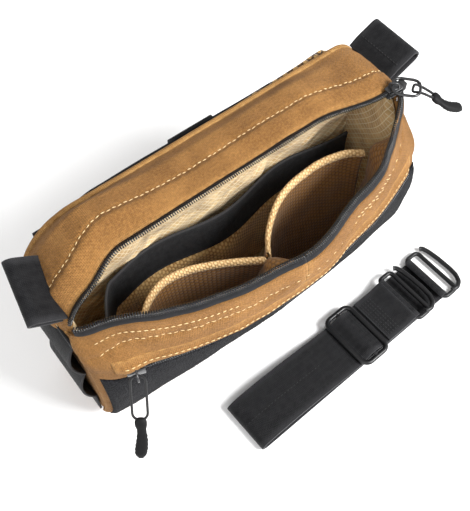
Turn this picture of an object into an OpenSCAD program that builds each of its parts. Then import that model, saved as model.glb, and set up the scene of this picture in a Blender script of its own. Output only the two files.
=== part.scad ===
// Open zip-top chest pack with its folded webbing harness strap beside it.
// Millimetres. X is the pack's width, -Y its front, +Z up. The origin is on the base face.

/* [Pack] */
// Width over the side gussets
pack_w = 256; // [200:1:320]
// Height of the back panel
pack_h = 166; // [130:1:210]
// Y of the back wall's inner face
back_y = 34; // [26:1:44]
// Thickness of the padded canvas walls
wall = 3; // [2:0.5:4]
// Radius of the upper left corner
shoulder_left_r = 40; // [30:1:48]
// Radius of the upper right corner
shoulder_right_r = 20; // [14:1:40]
// Radius of the two bottom corners
foot_r = 14; // [10:1:20]
// Y of the rear lip of the mouth
lip_y = -5; // [-14:1:2]

/* [Front panel] */
// How far the front edge of the mouth sits below the top
front_drop = 13; // [8:1:24]
// Y of the front seam at the base, in the middle
seam_y = -15; // [-24:1:-8]
// How far the open front leans out past that seam
lean = 49; // [30:1:60]
// Y of the corner seams at the base
corner_y = -12; // [-20:1:-6]
// How far the corner seams bulge forward at half height
corner_bulge = 24; // [14:1:32]
// Gap between the front's ends and the side walls
front_gap = 0.5; // [0.3:0.1:1.5]
// Thickness of the front canvas
canvas_t = 2.4; // [1.5:0.1:3]
// Thickness of a lining
lining_t = 1.2; // [0.8:0.1:2]
// How far the front pocket's zipper sits below the front edge
pocket_drop = 40; // [30:1:60]
// How far the inner slip pockets gape
slip_gape = 22; // [8:1:24]
// How far the slip pockets' hems sit below the front edge
slip_drop = 35; // [24:1:60]

/* [Organiser] */
// Y of the organiser pocket's front face
organiser_y = 18; // [14:1:24]
// How far the top of the elastic sits below the pack's top
elastic_drop = 62; // [50:1:76]
// Width of the elastic
elastic_w = 40; // [25:1:50]

/* [Zippers] */
// Radius of the main zipper's coil
coil_r = 1.6; // [1.2:0.1:2]
// Radius of the pocket zipper's coil
pocket_coil_r = 1.3; // [1:0.1:1.6]
// Width of zipper tape that shows
tape_w = 5; // [4:0.5:7]
// Length of a slider
slider_l = 11; // [9:0.5:14]
// Gap between a slider and its coil
slider_gap = 0.5; // [0.3:0.1:0.8]
// Length of a moulded pull grip
grip_l = 27; // [20:1:32]
// Width of a moulded pull grip
grip_w = 7.4; // [6:0.2:9]

/* [Webbing] */
// Width of the webbing
web_w = 38; // [25:1:50]
// Thickness of the webbing
web_t = 1.6; // [1.2:0.1:2.2]
// Length of a folded side tab
tab_l = 25; // [18:1:32]
// Gap inside a folded side tab
tab_gap = 7; // [5:0.5:8]
// Rise of an attachment loop from the side
loop_rise = 7.5; // [6.5:0.5:10]
// Distance between the sewn points of the side webbing
loop_pitch = 40; // [36:1:42]
// Length of the folded strap's lower layer, fold to hook bar
strap_l = 184; // [150:1:230]
// How far the upper layer stops short of the lower one
strap_step = 31; // [28:1:50]

/* [Hardware] */
// Width over a strap hook
hook_w = 46; // [44:1:56]
// Length over a strap hook
hook_l = 25; // [22:1:30]
// Radius of a hook's webbing bar
bar_r = 2; // [1.6:0.1:2.4]
// Length of the tri-glide along the strap
glide_l = 25; // [22:1:30]
// Running clearance of a pin in its eye
run_gap = 0.06; // [0.02:0.01:0.1]

/* [Hidden] */
$fn = 48;
half_w = pack_w / 2;
top_in = pack_h - wall;
front_h = pack_h - front_drop;
pocket_zip_z = front_h - pocket_drop;
slip_z = front_h - slip_drop;
elastic_top = pack_h - elastic_drop;
skin_gap = 0.3;
touch = 0.02;

SIDES = [-1, 1];

// ---- Colours
canvas = [0.69, 0.49, 0.24];
lining = [0.86, 0.75, 0.51];
black_web = [0.10, 0.10, 0.11];
black_metal = [0.14, 0.14, 0.15];

// ---- Shape of the open front: two upright profiles and an arc in plan between them
CENTRE_PROFILE = [[0, 0], [0.08, 0.16], [0.23, 0.42], [0.4, 0.63], [0.6, 0.84], [0.8, 0.97],
                  [0.92, 1.03], [1, 1]];
CORNER_PROFILE = [[0, 0], [0.08, 0.33], [0.23, 0.71], [0.4, 0.96], [0.6, 1], [0.8, 0.74],
                  [0.9, 0.42], [1, 0.08]];
function centre_y(z) = seam_y - lean * lookup(z / front_h, CENTRE_PROFILE);
function edge_y(z) = corner_y - corner_bulge * lookup(z / front_h, CORNER_PROFILE);
function arc_r(z) = let (s = edge_y(z) - centre_y(z)) (half_w * half_w + s * s) / (2 * s);
function front_y(x, z) = let (r = arc_r(z)) centre_y(z) + r - sqrt(r * r - x * x);
function steps(a, b, n) = [for (i = [0:n]) a + (b - a) * i / n];
plain_x = function (t, z) t;

// A sheet between two faces y = near(x, z) and y = far(x, z), over a grid of ts and zs
module sheet(ts, zs, place, near, far) {
    nx = len(ts);
    nz = len(zs);
    points = concat(
        [for (z = zs) for (t = ts) let (x = place(t, z)) [x, near(x, z), z]],
        [for (z = zs) for (t = ts) let (x = place(t, z)) [x, far(x, z), z]]);
    back = nx * nz;
    cells = [for (j = [0:nz - 2]) for (i = [0:nx - 2]) j * nx + i];
    faces = concat(
        [for (c = cells) each [[c, c + nx, c + 1], [c + 1, c + nx, c + nx + 1]]],
        [for (c = cells) let (d = c + back) each [[d, d + 1, d + nx], [d + 1, d + nx + 1, d + nx]]],
        [for (i = [0:nx - 2]) let (t = (nz - 1) * nx + i)
            each [[i, i + 1, i + back], [i + 1, i + 1 + back, i + back],
                  [t, t + back, t + 1], [t + 1, t + back, t + 1 + back]]],
        [for (j = [0:nz - 2]) let (a = j * nx, b = j * nx + nx - 1)
            each [[a, a + back, a + nx], [a + nx, a + back, a + nx + back],
                  [b, b + nx, b + back], [b + nx, b + nx + back, b + back]]]);
    polyhedron(points, faces);
}

// Outline of the back seen from the front, drawn in with a margin
function arc_points(cx, cz, r, a0, a1, n) =
    [for (a = steps(a0, a1, n)) [cx + r * cos(a), cz + r * sin(a)]];
function outline(m) = concat(
    arc_points(half_w - foot_r, foot_r, foot_r - m, -90, 0, 6),
    arc_points(half_w - shoulder_right_r, pack_h - shoulder_right_r, shoulder_right_r - m, 0, 90, 8),
    arc_points(-half_w + shoulder_left_r, pack_h - shoulder_left_r, shoulder_left_r - m, 90, 180, 12),
    arc_points(-half_w + foot_r, foot_r, foot_r - m, 180, 270, 6));
module upright(y0, y1) {
    translate([0, y1, 0]) rotate([90, 0, 0]) linear_extrude(y1 - y0) children();
}
module ring(m0, m1) {
    difference() {
        polygon(outline(m0));
        polygon(outline(m1));
    }
}

// The side walls' shape seen from the side; the front edge follows the corner seams
module side_profile() {
    seam = [for (u = steps(0, 0.97, 10)) [edge_y(u * front_h), u * front_h]];
    polygon(concat([[back_y, 0]], seam, [[lip_y, 0.97 * front_h], [lip_y, pack_h], [back_y, pack_h]]));
}
module gusset(x0, x1, z0, z1) {
    intersection() {
        upright(-100, back_y) ring(0, wall);
        rotate([90, 0, 90]) translate([0, 0, -half_w - 1]) linear_extrude(pack_w + 2) side_profile();
        translate([x0, -100, z0]) cube([x1 - x0, 200, z1 - z0]);
    }
}

foot_z = foot_r + 6;
left_z = pack_h - shoulder_left_r;
right_z = pack_h - shoulder_right_r;
module bottom_gusset() { color(canvas) gusset(-half_w, half_w, 0, foot_z); }
module left_gusset() { color(canvas) gusset(-half_w, 0, foot_z, left_z); }
module right_gusset() { color(canvas) gusset(0, half_w, foot_z, right_z); }
module left_shoulder() {
    color(canvas) gusset(-half_w, -half_w + shoulder_left_r, left_z, pack_h);
}
module right_shoulder() {
    color(canvas) gusset(half_w - shoulder_right_r, half_w, right_z, pack_h);
}
module top_panel() {
    color(canvas) gusset(-half_w + shoulder_left_r, half_w - shoulder_right_r, top_in - 1, pack_h);
}

// ---- Back
pad_t = 7;
binding_w = 3;
pad_margin = 10;
module back_wall() { color(canvas) upright(back_y, back_y + wall) polygon(outline(binding_w)); }
module back_binding() { color(canvas) upright(back_y, back_y + wall + 1) ring(0, binding_w); }
module back_mesh_pad() {
    color(canvas) upright(back_y + wall, back_y + wall + pad_t) polygon(outline(pad_margin));
}
module back_lining() {
    color(lining) upright(back_y - lining_t, back_y)
        intersection() {
            polygon(outline(wall));
            translate([-half_w, wall]) square([pack_w, top_in - 2 * wall]);
        }
}

// ---- Mouth: rear lip zipper, straight to the right end and round the left shoulder
coil_y = lip_y - tape_w + 1;
zip_right = half_w - 7;
shoulder_x = -half_w + shoulder_left_r;
tape_z = pack_h - wall / 2;
module lip_sweep(x1) {
    translate([shoulder_x, 0, 0]) rotate([90, 0, 90]) linear_extrude(x1 - shoulder_x) children();
}
module rear_zip_tape() {
    color(black_web) lip_sweep(half_w - shoulder_right_r)
        translate([coil_y, tape_z - 0.5]) square([tape_w - 1 - touch, 1]);
}
module rear_zip_coil() {
    color(black_web) lip_sweep(zip_right) translate([coil_y - coil_r, tape_z]) circle(coil_r);
}
module zip_end(x, z) {
    color(black_web) translate([x - 2, coil_y - 5, z - 3]) cube([4, 4 + coil_r, 6]);
}
module zip_end_left() {
    r = shoulder_left_r - wall / 2;
    stop_z = 0.97 * front_h + 1;
    color(black_web) intersection() {
        upright(coil_y, lip_y - touch) difference() {
            translate([shoulder_x, left_z]) circle(r + 0.5);
            translate([shoulder_x, left_z]) circle(r - 0.5);
        }
        translate([-half_w, -50, stop_z]) cube([shoulder_left_r - touch, 100, 60]);
    }
}
module zip_end_right() { zip_end(zip_right + 2 + touch, tape_z); }

// ---- Organiser on the rear wall
organiser_half = half_w - 30;
organiser_t = 2;
pocket_floor = wall + 5;
module organiser_pocket() {
    color(lining) translate([-organiser_half, organiser_y, pocket_floor])
        cube([2 * organiser_half, organiser_t, elastic_top - elastic_w - pocket_floor]);
    color(lining) for (s = SIDES)
        translate([s > 0 ? organiser_half - organiser_t : -organiser_half,
                   organiser_y + organiser_t, pocket_floor])
            cube([organiser_t, back_y - lining_t - organiser_y - organiser_t,
                  elastic_top - elastic_w - pocket_floor]);
}
module organiser_elastic() {
    color(black_web) translate([-organiser_half, organiser_y, elastic_top - elastic_w + touch])
        cube([2 * organiser_half, organiser_t, elastic_w]);
}

// ---- Front: it swings as one between the side walls, so its ends follow their inner outline
function bow(r, rise) = sqrt(max(r * r - rise * rise, 0));
function end_x(z, top_r) =
    z < foot_r ? half_w - foot_r + bow(foot_r - wall, foot_r - z)
    : z > pack_h - top_r ? half_w - top_r + bow(top_r - wall, z - pack_h + top_r)
    : half_w - wall;
function front_x(t, z) =
    t < 0 ? t * (end_x(z, shoulder_left_r) - front_gap) : t * (end_x(z, shoulder_right_r) - front_gap);
front_zs = steps(wall + 4, front_h - tape_w, 12);
front_ts = steps(-1, 1, 20);
module front_sheet(near, far) {
    sheet(front_ts, front_zs, function (t, z) front_x(t, z),
          function (x, z) front_y(x, z) + near, function (x, z) front_y(x, z) + far);
}
module front_panel() { color(canvas) front_sheet(0, canvas_t); }
module front_lining() { color(lining) front_sheet(canvas_t, canvas_t + lining_t); }

// Plan arc of the front at one height, as an exact revolve about its own centre
module front_arc(z, half) {
    r = arc_r(z);
    a = asin(half / r);
    translate([0, centre_y(z) + r, z]) rotate([0, 0, -90 - a])
        rotate_extrude(angle = 2 * a, $fn = 180) translate([r, 0]) children();
}
tape_half = half_w - 18;
zip_half = half_w - 26;
module front_zip_tape() {
    color(black_web) front_arc(front_h - tape_w, tape_half)
        translate([-1.7, skin_gap]) square([1, tape_w]);
}
module front_zip_coil() {
    color(black_web) front_arc(front_h + skin_gap + coil_r, zip_half)
        translate([-1.2, 0]) circle(coil_r, $fn = 24);
}

// ---- Front pocket: hook-and-loop panel under a zipper that follows the arc
panel_half = half_w - 16;
panel_t = 1.6;
// Room for the flat facets of the two curved sheets
panel_gap = 0.45;
pocket_zip_half = panel_half - 2;
pocket_tape_h = 8;
panel_face = function (x, z) front_y(x, z) - panel_gap - panel_t;
panel_back = function (x, z) front_y(x, z) - panel_gap;
module pocket_loop_panel() {
    color(black_web) sheet(steps(-panel_half, panel_half, 16),
                           steps(14, pocket_zip_z - pocket_tape_h / 2 - 1, 9),
                           plain_x, panel_face, panel_back);
}
module pocket_zip_tape() {
    color(black_web) front_arc(pocket_zip_z, pocket_zip_half)
        translate([0.9, -pocket_tape_h / 2]) square([0.9, pocket_tape_h]);
}
module pocket_zip_coil() {
    color(black_web) front_arc(pocket_zip_z, pocket_zip_half)
        translate([1.8 + pocket_coil_r, 0]) circle(pocket_coil_r, $fn = 24);
}

// ---- Slip pockets on the front lining, with thick hems
slip_t = 1.6;
hem_h = 5;
slip_floor = 24;
slip_inner_x = 5;
slip_outer_x = half_w - 34;
function slip_gap_at(x, x0, x1, z) =
    let (u = (x - x0) / (x1 - x0), v = (z - slip_floor) / (slip_z - slip_floor))
    skin_gap + slip_gape * sin(180 * u) * pow(max(v, 0), 0.8);
module slip_sheet(x0, x1, z0, z1, nz) {
    near = function (x, z) front_y(x, z) + canvas_t + lining_t + slip_gap_at(x, x0, x1, z);
    far = function (x, z) near(x, z) + slip_t;
    sheet(steps(x0, x1, 10), steps(z0, z1, nz), plain_x, near, far);
}
module slip_pocket_left() {
    color(lining) slip_sheet(-slip_outer_x, -slip_inner_x, slip_floor, slip_z - hem_h, 6);
}
module slip_pocket_right() {
    color(lining) slip_sheet(slip_inner_x, slip_outer_x, slip_floor, slip_z - hem_h, 6);
}
module slip_hem_left() {
    color(lining) slip_sheet(-slip_outer_x, -slip_inner_x, slip_z - hem_h + touch, slip_z, 1);
}
module slip_hem_right() {
    color(lining) slip_sheet(slip_inner_x, slip_outer_x, slip_z - hem_h + touch, slip_z, 1);
}

// ---- Side webbing: one band sewn flat at points, standing off in loops between them
side_y = 2;
side_head = 6;
// The head laps the shoulder seam a little; as many loops as fit, then the foot down to the base seam
side_top = min(left_z, right_z) + 4;
loops = floor((side_top - side_head - foot_z - 10) / loop_pitch);
side_z0 = side_top - side_head - loops * loop_pitch;
side_foot = side_z0 - foot_z;
loop_inner_r = (loop_pitch * loop_pitch / 4 + loop_rise * loop_rise) / (2 * loop_rise);
module side_band() {
    // Drawn with u up the side and v out from it
    translate([-side_foot, 0]) square([side_foot, web_t]);
    translate([loops * loop_pitch, 0]) square([side_head, web_t]);
    for (i = [0:loops - 1]) intersection() {
        translate([loop_pitch * (i + 0.5), loop_rise - loop_inner_r]) difference() {
            circle(loop_inner_r, $fn = 120);
            circle(loop_inner_r - web_t, $fn = 120);
        }
        translate([loop_pitch * i, 0]) square([loop_pitch, loop_rise + 1]);
    }
}
module side_webbing(s) {
    color(black_web) translate([s * half_w, side_y + web_w / 2, side_z0])
        mirror([s < 0 ? 1 : 0, 0, 0]) rotate([90, 0, 0])
            linear_extrude(web_w) mirror([1, 0]) rotate(90) side_band();
}
module left_side_webbing() { side_webbing(-1); }
module right_side_webbing() { side_webbing(1); }

// ---- Side tabs: webbing folded into a loop, drawn sticking out along +X from its seam
tab_turn_r = tab_gap / 2 + web_t;
module tab_section() {
    difference() {
        union() {
            translate([0, -tab_turn_r]) square([tab_l - tab_turn_r, 2 * tab_turn_r]);
            translate([tab_l - tab_turn_r, 0]) circle(tab_turn_r);
        }
        union() {
            translate([-1, -tab_gap / 2]) square([tab_l - tab_turn_r + 1, tab_gap]);
            translate([tab_l - tab_turn_r, 0]) circle(tab_gap / 2);
        }
    }
}
module tab() { translate([0, 0, -web_w / 2]) linear_extrude(web_w) tab_section(); }
// The root stands off the side by the room its corners need to turn
tab_root_gap = 2.6;
left_tab_rise = 40;
left_tab_r = shoulder_left_r + tab_root_gap;
left_tab_seat = [shoulder_x - left_tab_r * cos(left_tab_rise), 4,
                 left_z + left_tab_r * sin(left_tab_rise)];
right_tab_rise = 25;
right_tab_r = shoulder_right_r + tab_root_gap;
right_tab_seat = [half_w - shoulder_right_r + right_tab_r * cos(right_tab_rise), 20,
                  right_z + right_tab_r * sin(right_tab_rise)];
module left_tab() {
    color(black_web) translate(left_tab_seat) rotate([0, left_tab_rise - 180, 0]) rotate([90, 0, 0]) tab();
}
module right_tab() {
    color(black_web) translate(right_tab_seat) rotate([0, -right_tab_rise, 0]) rotate([90, 0, 0]) tab();
}

// ---- Rear strap across the back, and the keeper that slides on it
rear_strap_z = pack_h - 35;
rear_strap_y = back_y + wall + pad_t + 6;
strap_end_half = half_w - 16;
strap_flat_half = strap_end_half - 40;
module rear_strap() {
    pad_y = back_y + wall + pad_t + touch;
    color(black_web) translate([0, 0, rear_strap_z - web_w / 2]) linear_extrude(web_w)
        polygon(concat(
            [[-strap_end_half, pad_y], [-strap_end_half + 14, pad_y],
             [-strap_flat_half, rear_strap_y], [strap_flat_half, rear_strap_y],
             [strap_end_half - 14, pad_y], [strap_end_half, pad_y]],
            [[strap_end_half, pad_y + web_t], [strap_end_half - 14, pad_y + web_t],
             [strap_flat_half, rear_strap_y + web_t], [-strap_flat_half, rear_strap_y + web_t],
             [-strap_end_half + 14, pad_y + web_t], [-strap_end_half, pad_y + web_t]]));
}
keeper_l = 33;
keeper_x = 5;
keeper_gap = 0.5;
module keeper_slab(grow) {
    cube([keeper_l + grow, web_t + 2 * keeper_gap, web_w + 2 * keeper_gap], center = true);
}
module strap_keeper() {
    color(black_web) translate([keeper_x, rear_strap_y + web_t / 2, rear_strap_z]) difference() {
        cube([keeper_l, web_t * 3 + 2 * keeper_gap, web_w + 2 * keeper_gap + 2 * web_t], center = true);
        keeper_slab(2);
    }
}

// ---- Main slider on the rear lip's coil, and its pull
slider_x = zip_right - slider_l / 2;
slider_half = coil_r + slider_gap;
slider_plate = 1;
slider_wall = 0.8;
slider_w = 7.4;
rod = 1.8;
// A square rod turns inside the bail, so the bail clears its corners
bail_hole = 2.9;
bail_bar = 1;
bail_z = tape_z + slider_half + slider_plate + bail_hole / 2;
pull_yaw = -48;
module bail(hole) {
    translate([0, 0, hole / 2]) difference() {
        cube([hole + 2 * bail_bar + 1, 3, hole + 2 * bail_bar], center = true);
        cube([hole + 1, 4, hole], center = true);
    }
}
module main_slider() {
    color(black_metal) translate([slider_x, coil_y - coil_r, tape_z]) {
        difference() {
            translate([-slider_l / 2, -slider_half - slider_wall, -slider_half - slider_plate])
                cube([slider_l, slider_w, 2 * (slider_half + slider_plate)]);
            translate([-slider_l, -slider_half, -slider_half])
                cube([2 * slider_l, 20, 2 * slider_half]);
        }
        translate([0, -0.5, slider_half + slider_plate]) rotate([0, 0, pull_yaw]) bail(bail_hole);
    }
}

// A flat loop with round ends, lying in the XY plane from the origin out along +X
module stadium(l, w) {
    translate([w / 2, -w / 2]) square([l - w, w]);
    translate([w / 2, 0]) circle(w / 2);
    translate([l - w / 2, 0]) circle(w / 2);
}
module flat_loop(l, w, rod) {
    linear_extrude(rod) difference() {
        stadium(l, w);
        translate([rod, 0]) stadium(l - 2 * rod, w - 2 * rod);
    }
}
ring_l = 17;
ring_w = 13;
link_l = 16;
link_w = 6.4;
link_t = 1.6;
module pull_place(d) {
    translate([slider_x, coil_y - coil_r - 0.5, bail_z]) rotate([0, 0, pull_yaw])
        translate([d, 0, 0]) children();
}
module main_pull_ring() {
    color(black_metal) pull_place(-rod / 2) translate([0, 0, -rod / 2]) flat_loop(ring_l, ring_w, rod);
}
// The cord's loop stands on edge and links round the ring's far side
link_start = ring_l - 1.5 * rod - 0.4 - link_t;
module main_pull_cord() {
    color(black_web) pull_place(link_start) rotate([90, 0, 0]) translate([0, 0, -link_t / 2])
        flat_loop(link_l, link_w, link_t);
}
module grip() {
    linear_extrude(4.2, center = true) stadium(grip_l, grip_w);
}
module main_pull_grip() {
    color(black_web) pull_place(link_start + link_l + touch) grip();
}

// ---- Pocket slider on its arc, and its pull
pocket_r = arc_r(pocket_zip_z);
pocket_cy = centre_y(pocket_zip_z) + pocket_r;
pocket_slider_angle = asin((pocket_zip_half - 5) / pocket_r);
pocket_pull_tilt = 50;
pocket_cord_l = 29;
pocket_out = 1.8 + pocket_coil_r;
pocket_half = pocket_coil_r + slider_gap;
pocket_bail_hole = 4.8;
pocket_pull_yaw = -106;
module pocket_place() {
    translate([0, pocket_cy, pocket_zip_z]) rotate([0, 0, -pocket_slider_angle])
        translate([0, -pocket_r - pocket_out, 0]) children();
}
module pocket_slider() {
    color(black_metal) pocket_place() {
        difference() {
            translate([-slider_l / 2, -pocket_half - slider_plate, -4.2])
                cube([slider_l, 2 * pocket_half + 0.2, 8.4]);
            translate([-slider_l, -pocket_half, -pocket_half])
                cube([2 * slider_l, 20, 2 * pocket_half]);
        }
        translate([0, -pocket_half - slider_plate, 0]) rotate([90, 90, 0]) bail(pocket_bail_hole);
    }
}
module pocket_pull_place(d) {
    pocket_place() translate([0, -pocket_half - slider_plate - pocket_bail_hole / 2, 0])
        rotate([0, 0, pocket_pull_yaw]) rotate([0, pocket_pull_tilt, 0]) translate([d, 0, 0])
            children();
}
module pocket_pull_cord() {
    color(black_web) pocket_pull_place(-rod / 2) translate([0, 0, -rod / 2])
        flat_loop(pocket_cord_l, 9, rod);
}
module pocket_pull_grip() {
    color(black_web) pocket_pull_place(pocket_cord_l - rod / 2 + touch) grip();
}

// ---- Harness strap, folded in half and lying beside the pack
strap_x = -58;
strap_y = -85;
strap_yaw = 2.2;
fold_gap = 2.6;
upper_z = web_t + fold_gap;
eye_r = bar_r + run_gap + web_t;
lower_bar = [strap_l, 0, eye_r];
upper_bar = [strap_l - strap_step, 0, upper_z + eye_r];
module strap_place() {
    translate([strap_x, strap_y, 0]) rotate([0, 0, strap_yaw]) children();
}
module band(points_z, x0, x1) {
    translate([x0, -web_w / 2, points_z]) cube([x1 - x0, web_w, web_t]);
}
module eye(p) {
    translate(p) rotate([90, 0, 0]) difference() {
        cylinder(r = eye_r, h = web_w - 4, center = true);
        cylinder(r = bar_r + run_gap, h = web_w, center = true);
    }
}
fold_r = (fold_gap + 2 * web_t) / 2;
module strap_lower() {
    color(black_web) strap_place() difference() {
        union() {
            band(0, fold_r, lower_bar[0]);
            intersection() {
                translate([fold_r, 0, fold_r]) rotate([90, 0, 0]) difference() {
                    cylinder(r = fold_r, h = web_w, center = true);
                    cylinder(r = fold_r - web_t, h = web_w + 2, center = true);
                }
                translate([-1, -web_w, 0]) cube([fold_r + 1, 2 * web_w, 2 * fold_r]);
            }
            eye(lower_bar);
        }
        translate(lower_bar) rotate([90, 0, 0]) cylinder(r = bar_r + run_gap, h = web_w + 9, center = true);
    }
}
module strap_upper() {
    color(black_web) strap_place() difference() {
        union() {
            band(upper_z, fold_r + touch, upper_bar[0]);
            eye(upper_bar);
        }
        translate(upper_bar) rotate([90, 0, 0]) cylinder(r = bar_r + run_gap, h = web_w + 9, center = true);
    }
}
sewn_l = 24;
module strap_sewn_end() {
    color(black_web) strap_place()
        translate([upper_bar[0] - eye_r - sewn_l, -web_w / 2, upper_z + web_t + touch])
            cube([sewn_l, web_w, web_t]);
}

// Tri-glide: a frame with a middle bar; the webbing turns over the bar
glide_x = 96;
glide_w = 46;
glide_t = 3.4;
glide_z = upper_z + web_t + skin_gap;
module rounded_plate(l, w, r) {
    translate([-l / 2 + r, -w / 2]) square([l - 2 * r, w]);
    translate([-l / 2, -w / 2 + r]) square([l, w - 2 * r]);
    for (s = SIDES) for (t = SIDES) translate([s * (l / 2 - r), t * (w / 2 - r)]) circle(r);
}
module tri_glide_frame() {
    color(black_metal) strap_place() translate([glide_x + glide_l / 2, 0, glide_z])
        linear_extrude(glide_t) difference() {
            rounded_plate(glide_l, glide_w, 3.5);
            rounded_plate(glide_l - 7, glide_w - 7, 1.5);
        }
}
glide_bar_r = 1.6;
module tri_glide_bar() {
    color(black_metal) strap_place()
        translate([glide_x + glide_l / 2, 0, glide_z + glide_t / 2]) rotate([90, 0, 0])
            cylinder(r = glide_bar_r, h = glide_w - 7, center = true);
}
module bar_wrap() {
    r = glide_bar_r + 0.1;
    color(black_web) strap_place() translate([glide_x + glide_l / 2, 0, glide_z + glide_t / 2])
        rotate([90, 0, 0]) intersection() {
            difference() {
                cylinder(r = r + web_t, h = web_w - 1, center = true);
                cylinder(r = r, h = web_w, center = true);
            }
            translate([-10, -glide_t / 2 + 0.1, -web_w]) cube([20, 20, 2 * web_w]);
        }
}

// Hook: a round bar for the webbing, a frame round it and an open hooked slot beyond
hook_t = 4;
gate = 7;
module hook_plate() {
    leg = (hook_w - web_w) / 2 - 0.4;
    slot = (hook_l - 2 * bar_r - 2 * hook_t) / 2;
    far = hook_l - bar_r;
    difference() {
        union() {
            translate([0, hook_w / 2 - leg]) square([far - 3, leg]);
            translate([0, -hook_w / 2]) square([far - 3, leg]);
            translate([slot + bar_r, -hook_w / 2 + touch]) square([hook_t, hook_w - 2 * touch]);
            translate([far - hook_t, -hook_w / 2 + 3]) square([hook_t, hook_w - 6]);
            for (s = SIDES) translate([far - 3, s * (hook_w / 2 - 3)]) circle(3);
        }
        translate([slot + bar_r + hook_t, hook_w / 2 - gate]) square([slot, gate + 1]);
    }
}
module hook() {
    translate([0, 0, -hook_t / 2]) linear_extrude(hook_t) hook_plate();
    rotate([90, 0, 0]) cylinder(r = bar_r, h = hook_w - 0.2, center = true);
}
module upper_hook() { color(black_metal) strap_place() translate(upper_bar) hook(); }
module lower_hook() { color(black_metal) strap_place() translate(lower_bar) hook(); }

back_mesh_pad();
back_wall();
back_binding();
back_lining();
top_panel();
left_shoulder();
right_shoulder();
left_gusset();
right_gusset();
bottom_gusset();
rear_zip_tape();
rear_zip_coil();
zip_end_left();
zip_end_right();
organiser_pocket();
organiser_elastic();
left_side_webbing();
right_side_webbing();
rear_strap();
strap_keeper();
left_tab();
right_tab();
front_panel();
front_lining();
front_zip_tape();
front_zip_coil();
pocket_loop_panel();
pocket_zip_tape();
pocket_zip_coil();
slip_pocket_left();
slip_pocket_right();
slip_hem_left();
slip_hem_right();
main_slider();
main_pull_ring();
main_pull_cord();
main_pull_grip();
pocket_slider();
pocket_pull_cord();
pocket_pull_grip();
strap_lower();
strap_upper();
strap_sewn_end();
tri_glide_frame();
tri_glide_bar();
bar_wrap();
upper_hook();
lower_hook();
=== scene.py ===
"""Open zip-top chest pack with its folded webbing harness strap beside it. Everything is in metres."""

import math

import bmesh
import bpy
from mathutils import Matrix, Vector, noise


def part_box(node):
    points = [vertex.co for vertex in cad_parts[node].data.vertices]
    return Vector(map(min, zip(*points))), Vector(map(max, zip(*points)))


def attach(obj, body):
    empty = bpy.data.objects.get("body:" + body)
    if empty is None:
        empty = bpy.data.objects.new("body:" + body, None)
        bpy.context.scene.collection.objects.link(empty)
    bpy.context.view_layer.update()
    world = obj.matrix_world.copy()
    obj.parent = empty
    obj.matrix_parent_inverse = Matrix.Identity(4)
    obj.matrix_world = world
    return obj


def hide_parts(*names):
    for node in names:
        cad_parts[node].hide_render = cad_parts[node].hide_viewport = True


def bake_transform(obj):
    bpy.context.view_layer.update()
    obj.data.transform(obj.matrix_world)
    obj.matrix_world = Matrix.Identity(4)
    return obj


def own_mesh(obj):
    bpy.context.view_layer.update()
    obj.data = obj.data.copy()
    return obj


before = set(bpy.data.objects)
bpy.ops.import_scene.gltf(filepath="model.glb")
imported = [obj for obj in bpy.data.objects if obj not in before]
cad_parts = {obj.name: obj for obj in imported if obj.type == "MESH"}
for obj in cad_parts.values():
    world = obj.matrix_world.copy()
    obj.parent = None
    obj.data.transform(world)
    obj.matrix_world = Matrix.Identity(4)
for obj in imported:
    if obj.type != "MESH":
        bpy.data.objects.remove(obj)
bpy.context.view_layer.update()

MM = 0.001
X_AXIS = Vector((1, 0, 0))
Y_AXIS = Vector((0, 1, 0))
Z_AXIS = Vector((0, 0, 1))


# ---- Sizes, read from the frame
def middle(node):
    low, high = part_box(node)
    return (low + high) / 2


def extent(node):
    low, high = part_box(node)
    return high - low


HALF_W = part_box("back_binding")[1].x
PACK_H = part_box("back_binding")[1].z
BACK_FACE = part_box("back_mesh_pad")[0].y
INNER_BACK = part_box("back_wall")[0].y
LEFT_R = extent("left_shoulder").x
RIGHT_R = extent("right_shoulder").x
FOOT_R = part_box("bottom_gusset")[1].z - 6 * MM
FRONT_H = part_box("front_zip_tape")[1].z
POCKET_Z = middle("pocket_zip_coil").z
ELASTIC_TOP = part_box("organiser_elastic")[1].z
ORGANISER_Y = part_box("organiser_elastic")[0].y
WEB_W = extent("left_side_webbing").y
WEB_T = 1.6 * MM
COIL = middle("rear_zip_coil")
COIL_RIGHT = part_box("rear_zip_coil")[1].x
LEFT_Z = PACK_H - LEFT_R
RIGHT_Z = PACK_H - RIGHT_R

# ---- Shape of the open front: two upright profiles and an arc in plan between them
SEAM_Y = -15 * MM
LEAN = 49 * MM
CORNER_Y = -12 * MM
CORNER_BULGE = 24 * MM
CENTRE_PROFILE = [(0, 0), (0.08, 0.16), (0.23, 0.42), (0.4, 0.63), (0.6, 0.84), (0.8, 0.97),
                  (0.92, 1.03), (1, 1), (1.1, 0.97)]
CORNER_PROFILE = [(0, 0), (0.08, 0.33), (0.23, 0.71), (0.4, 0.96), (0.6, 1), (0.75, 0.8),
                  (0.86, 0.38), (0.94, 0.08), (1, 0), (1.1, 0)]


def smooth(t):
    t = min(max(t, 0.0), 1.0)
    return t * t * (3 - 2 * t)


def bump_at(x, centre, width):
    return math.exp(-((x - centre) / width) ** 2)


def follow(points, t):
    """A smooth line through (t, value) points."""
    if t <= points[0][0]:
        return points[0][1]
    if t >= points[-1][0]:
        return points[-1][1]
    i = max(k for k, p in enumerate(points) if p[0] <= t and k < len(points) - 1)

    def slope(k):
        a, b = points[max(k - 1, 0)], points[min(k + 1, len(points) - 1)]
        return (b[1] - a[1]) / (b[0] - a[0])

    (t0, v0), (t1, v1) = points[i], points[i + 1]
    w = t1 - t0
    s = (t - t0) / w
    return (v0 * (1 + 2 * s) * (1 - s) ** 2 + w * slope(i) * s * (1 - s) ** 2
            + v1 * s * s * (3 - 2 * s) + w * slope(i + 1) * s * s * (s - 1))


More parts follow.
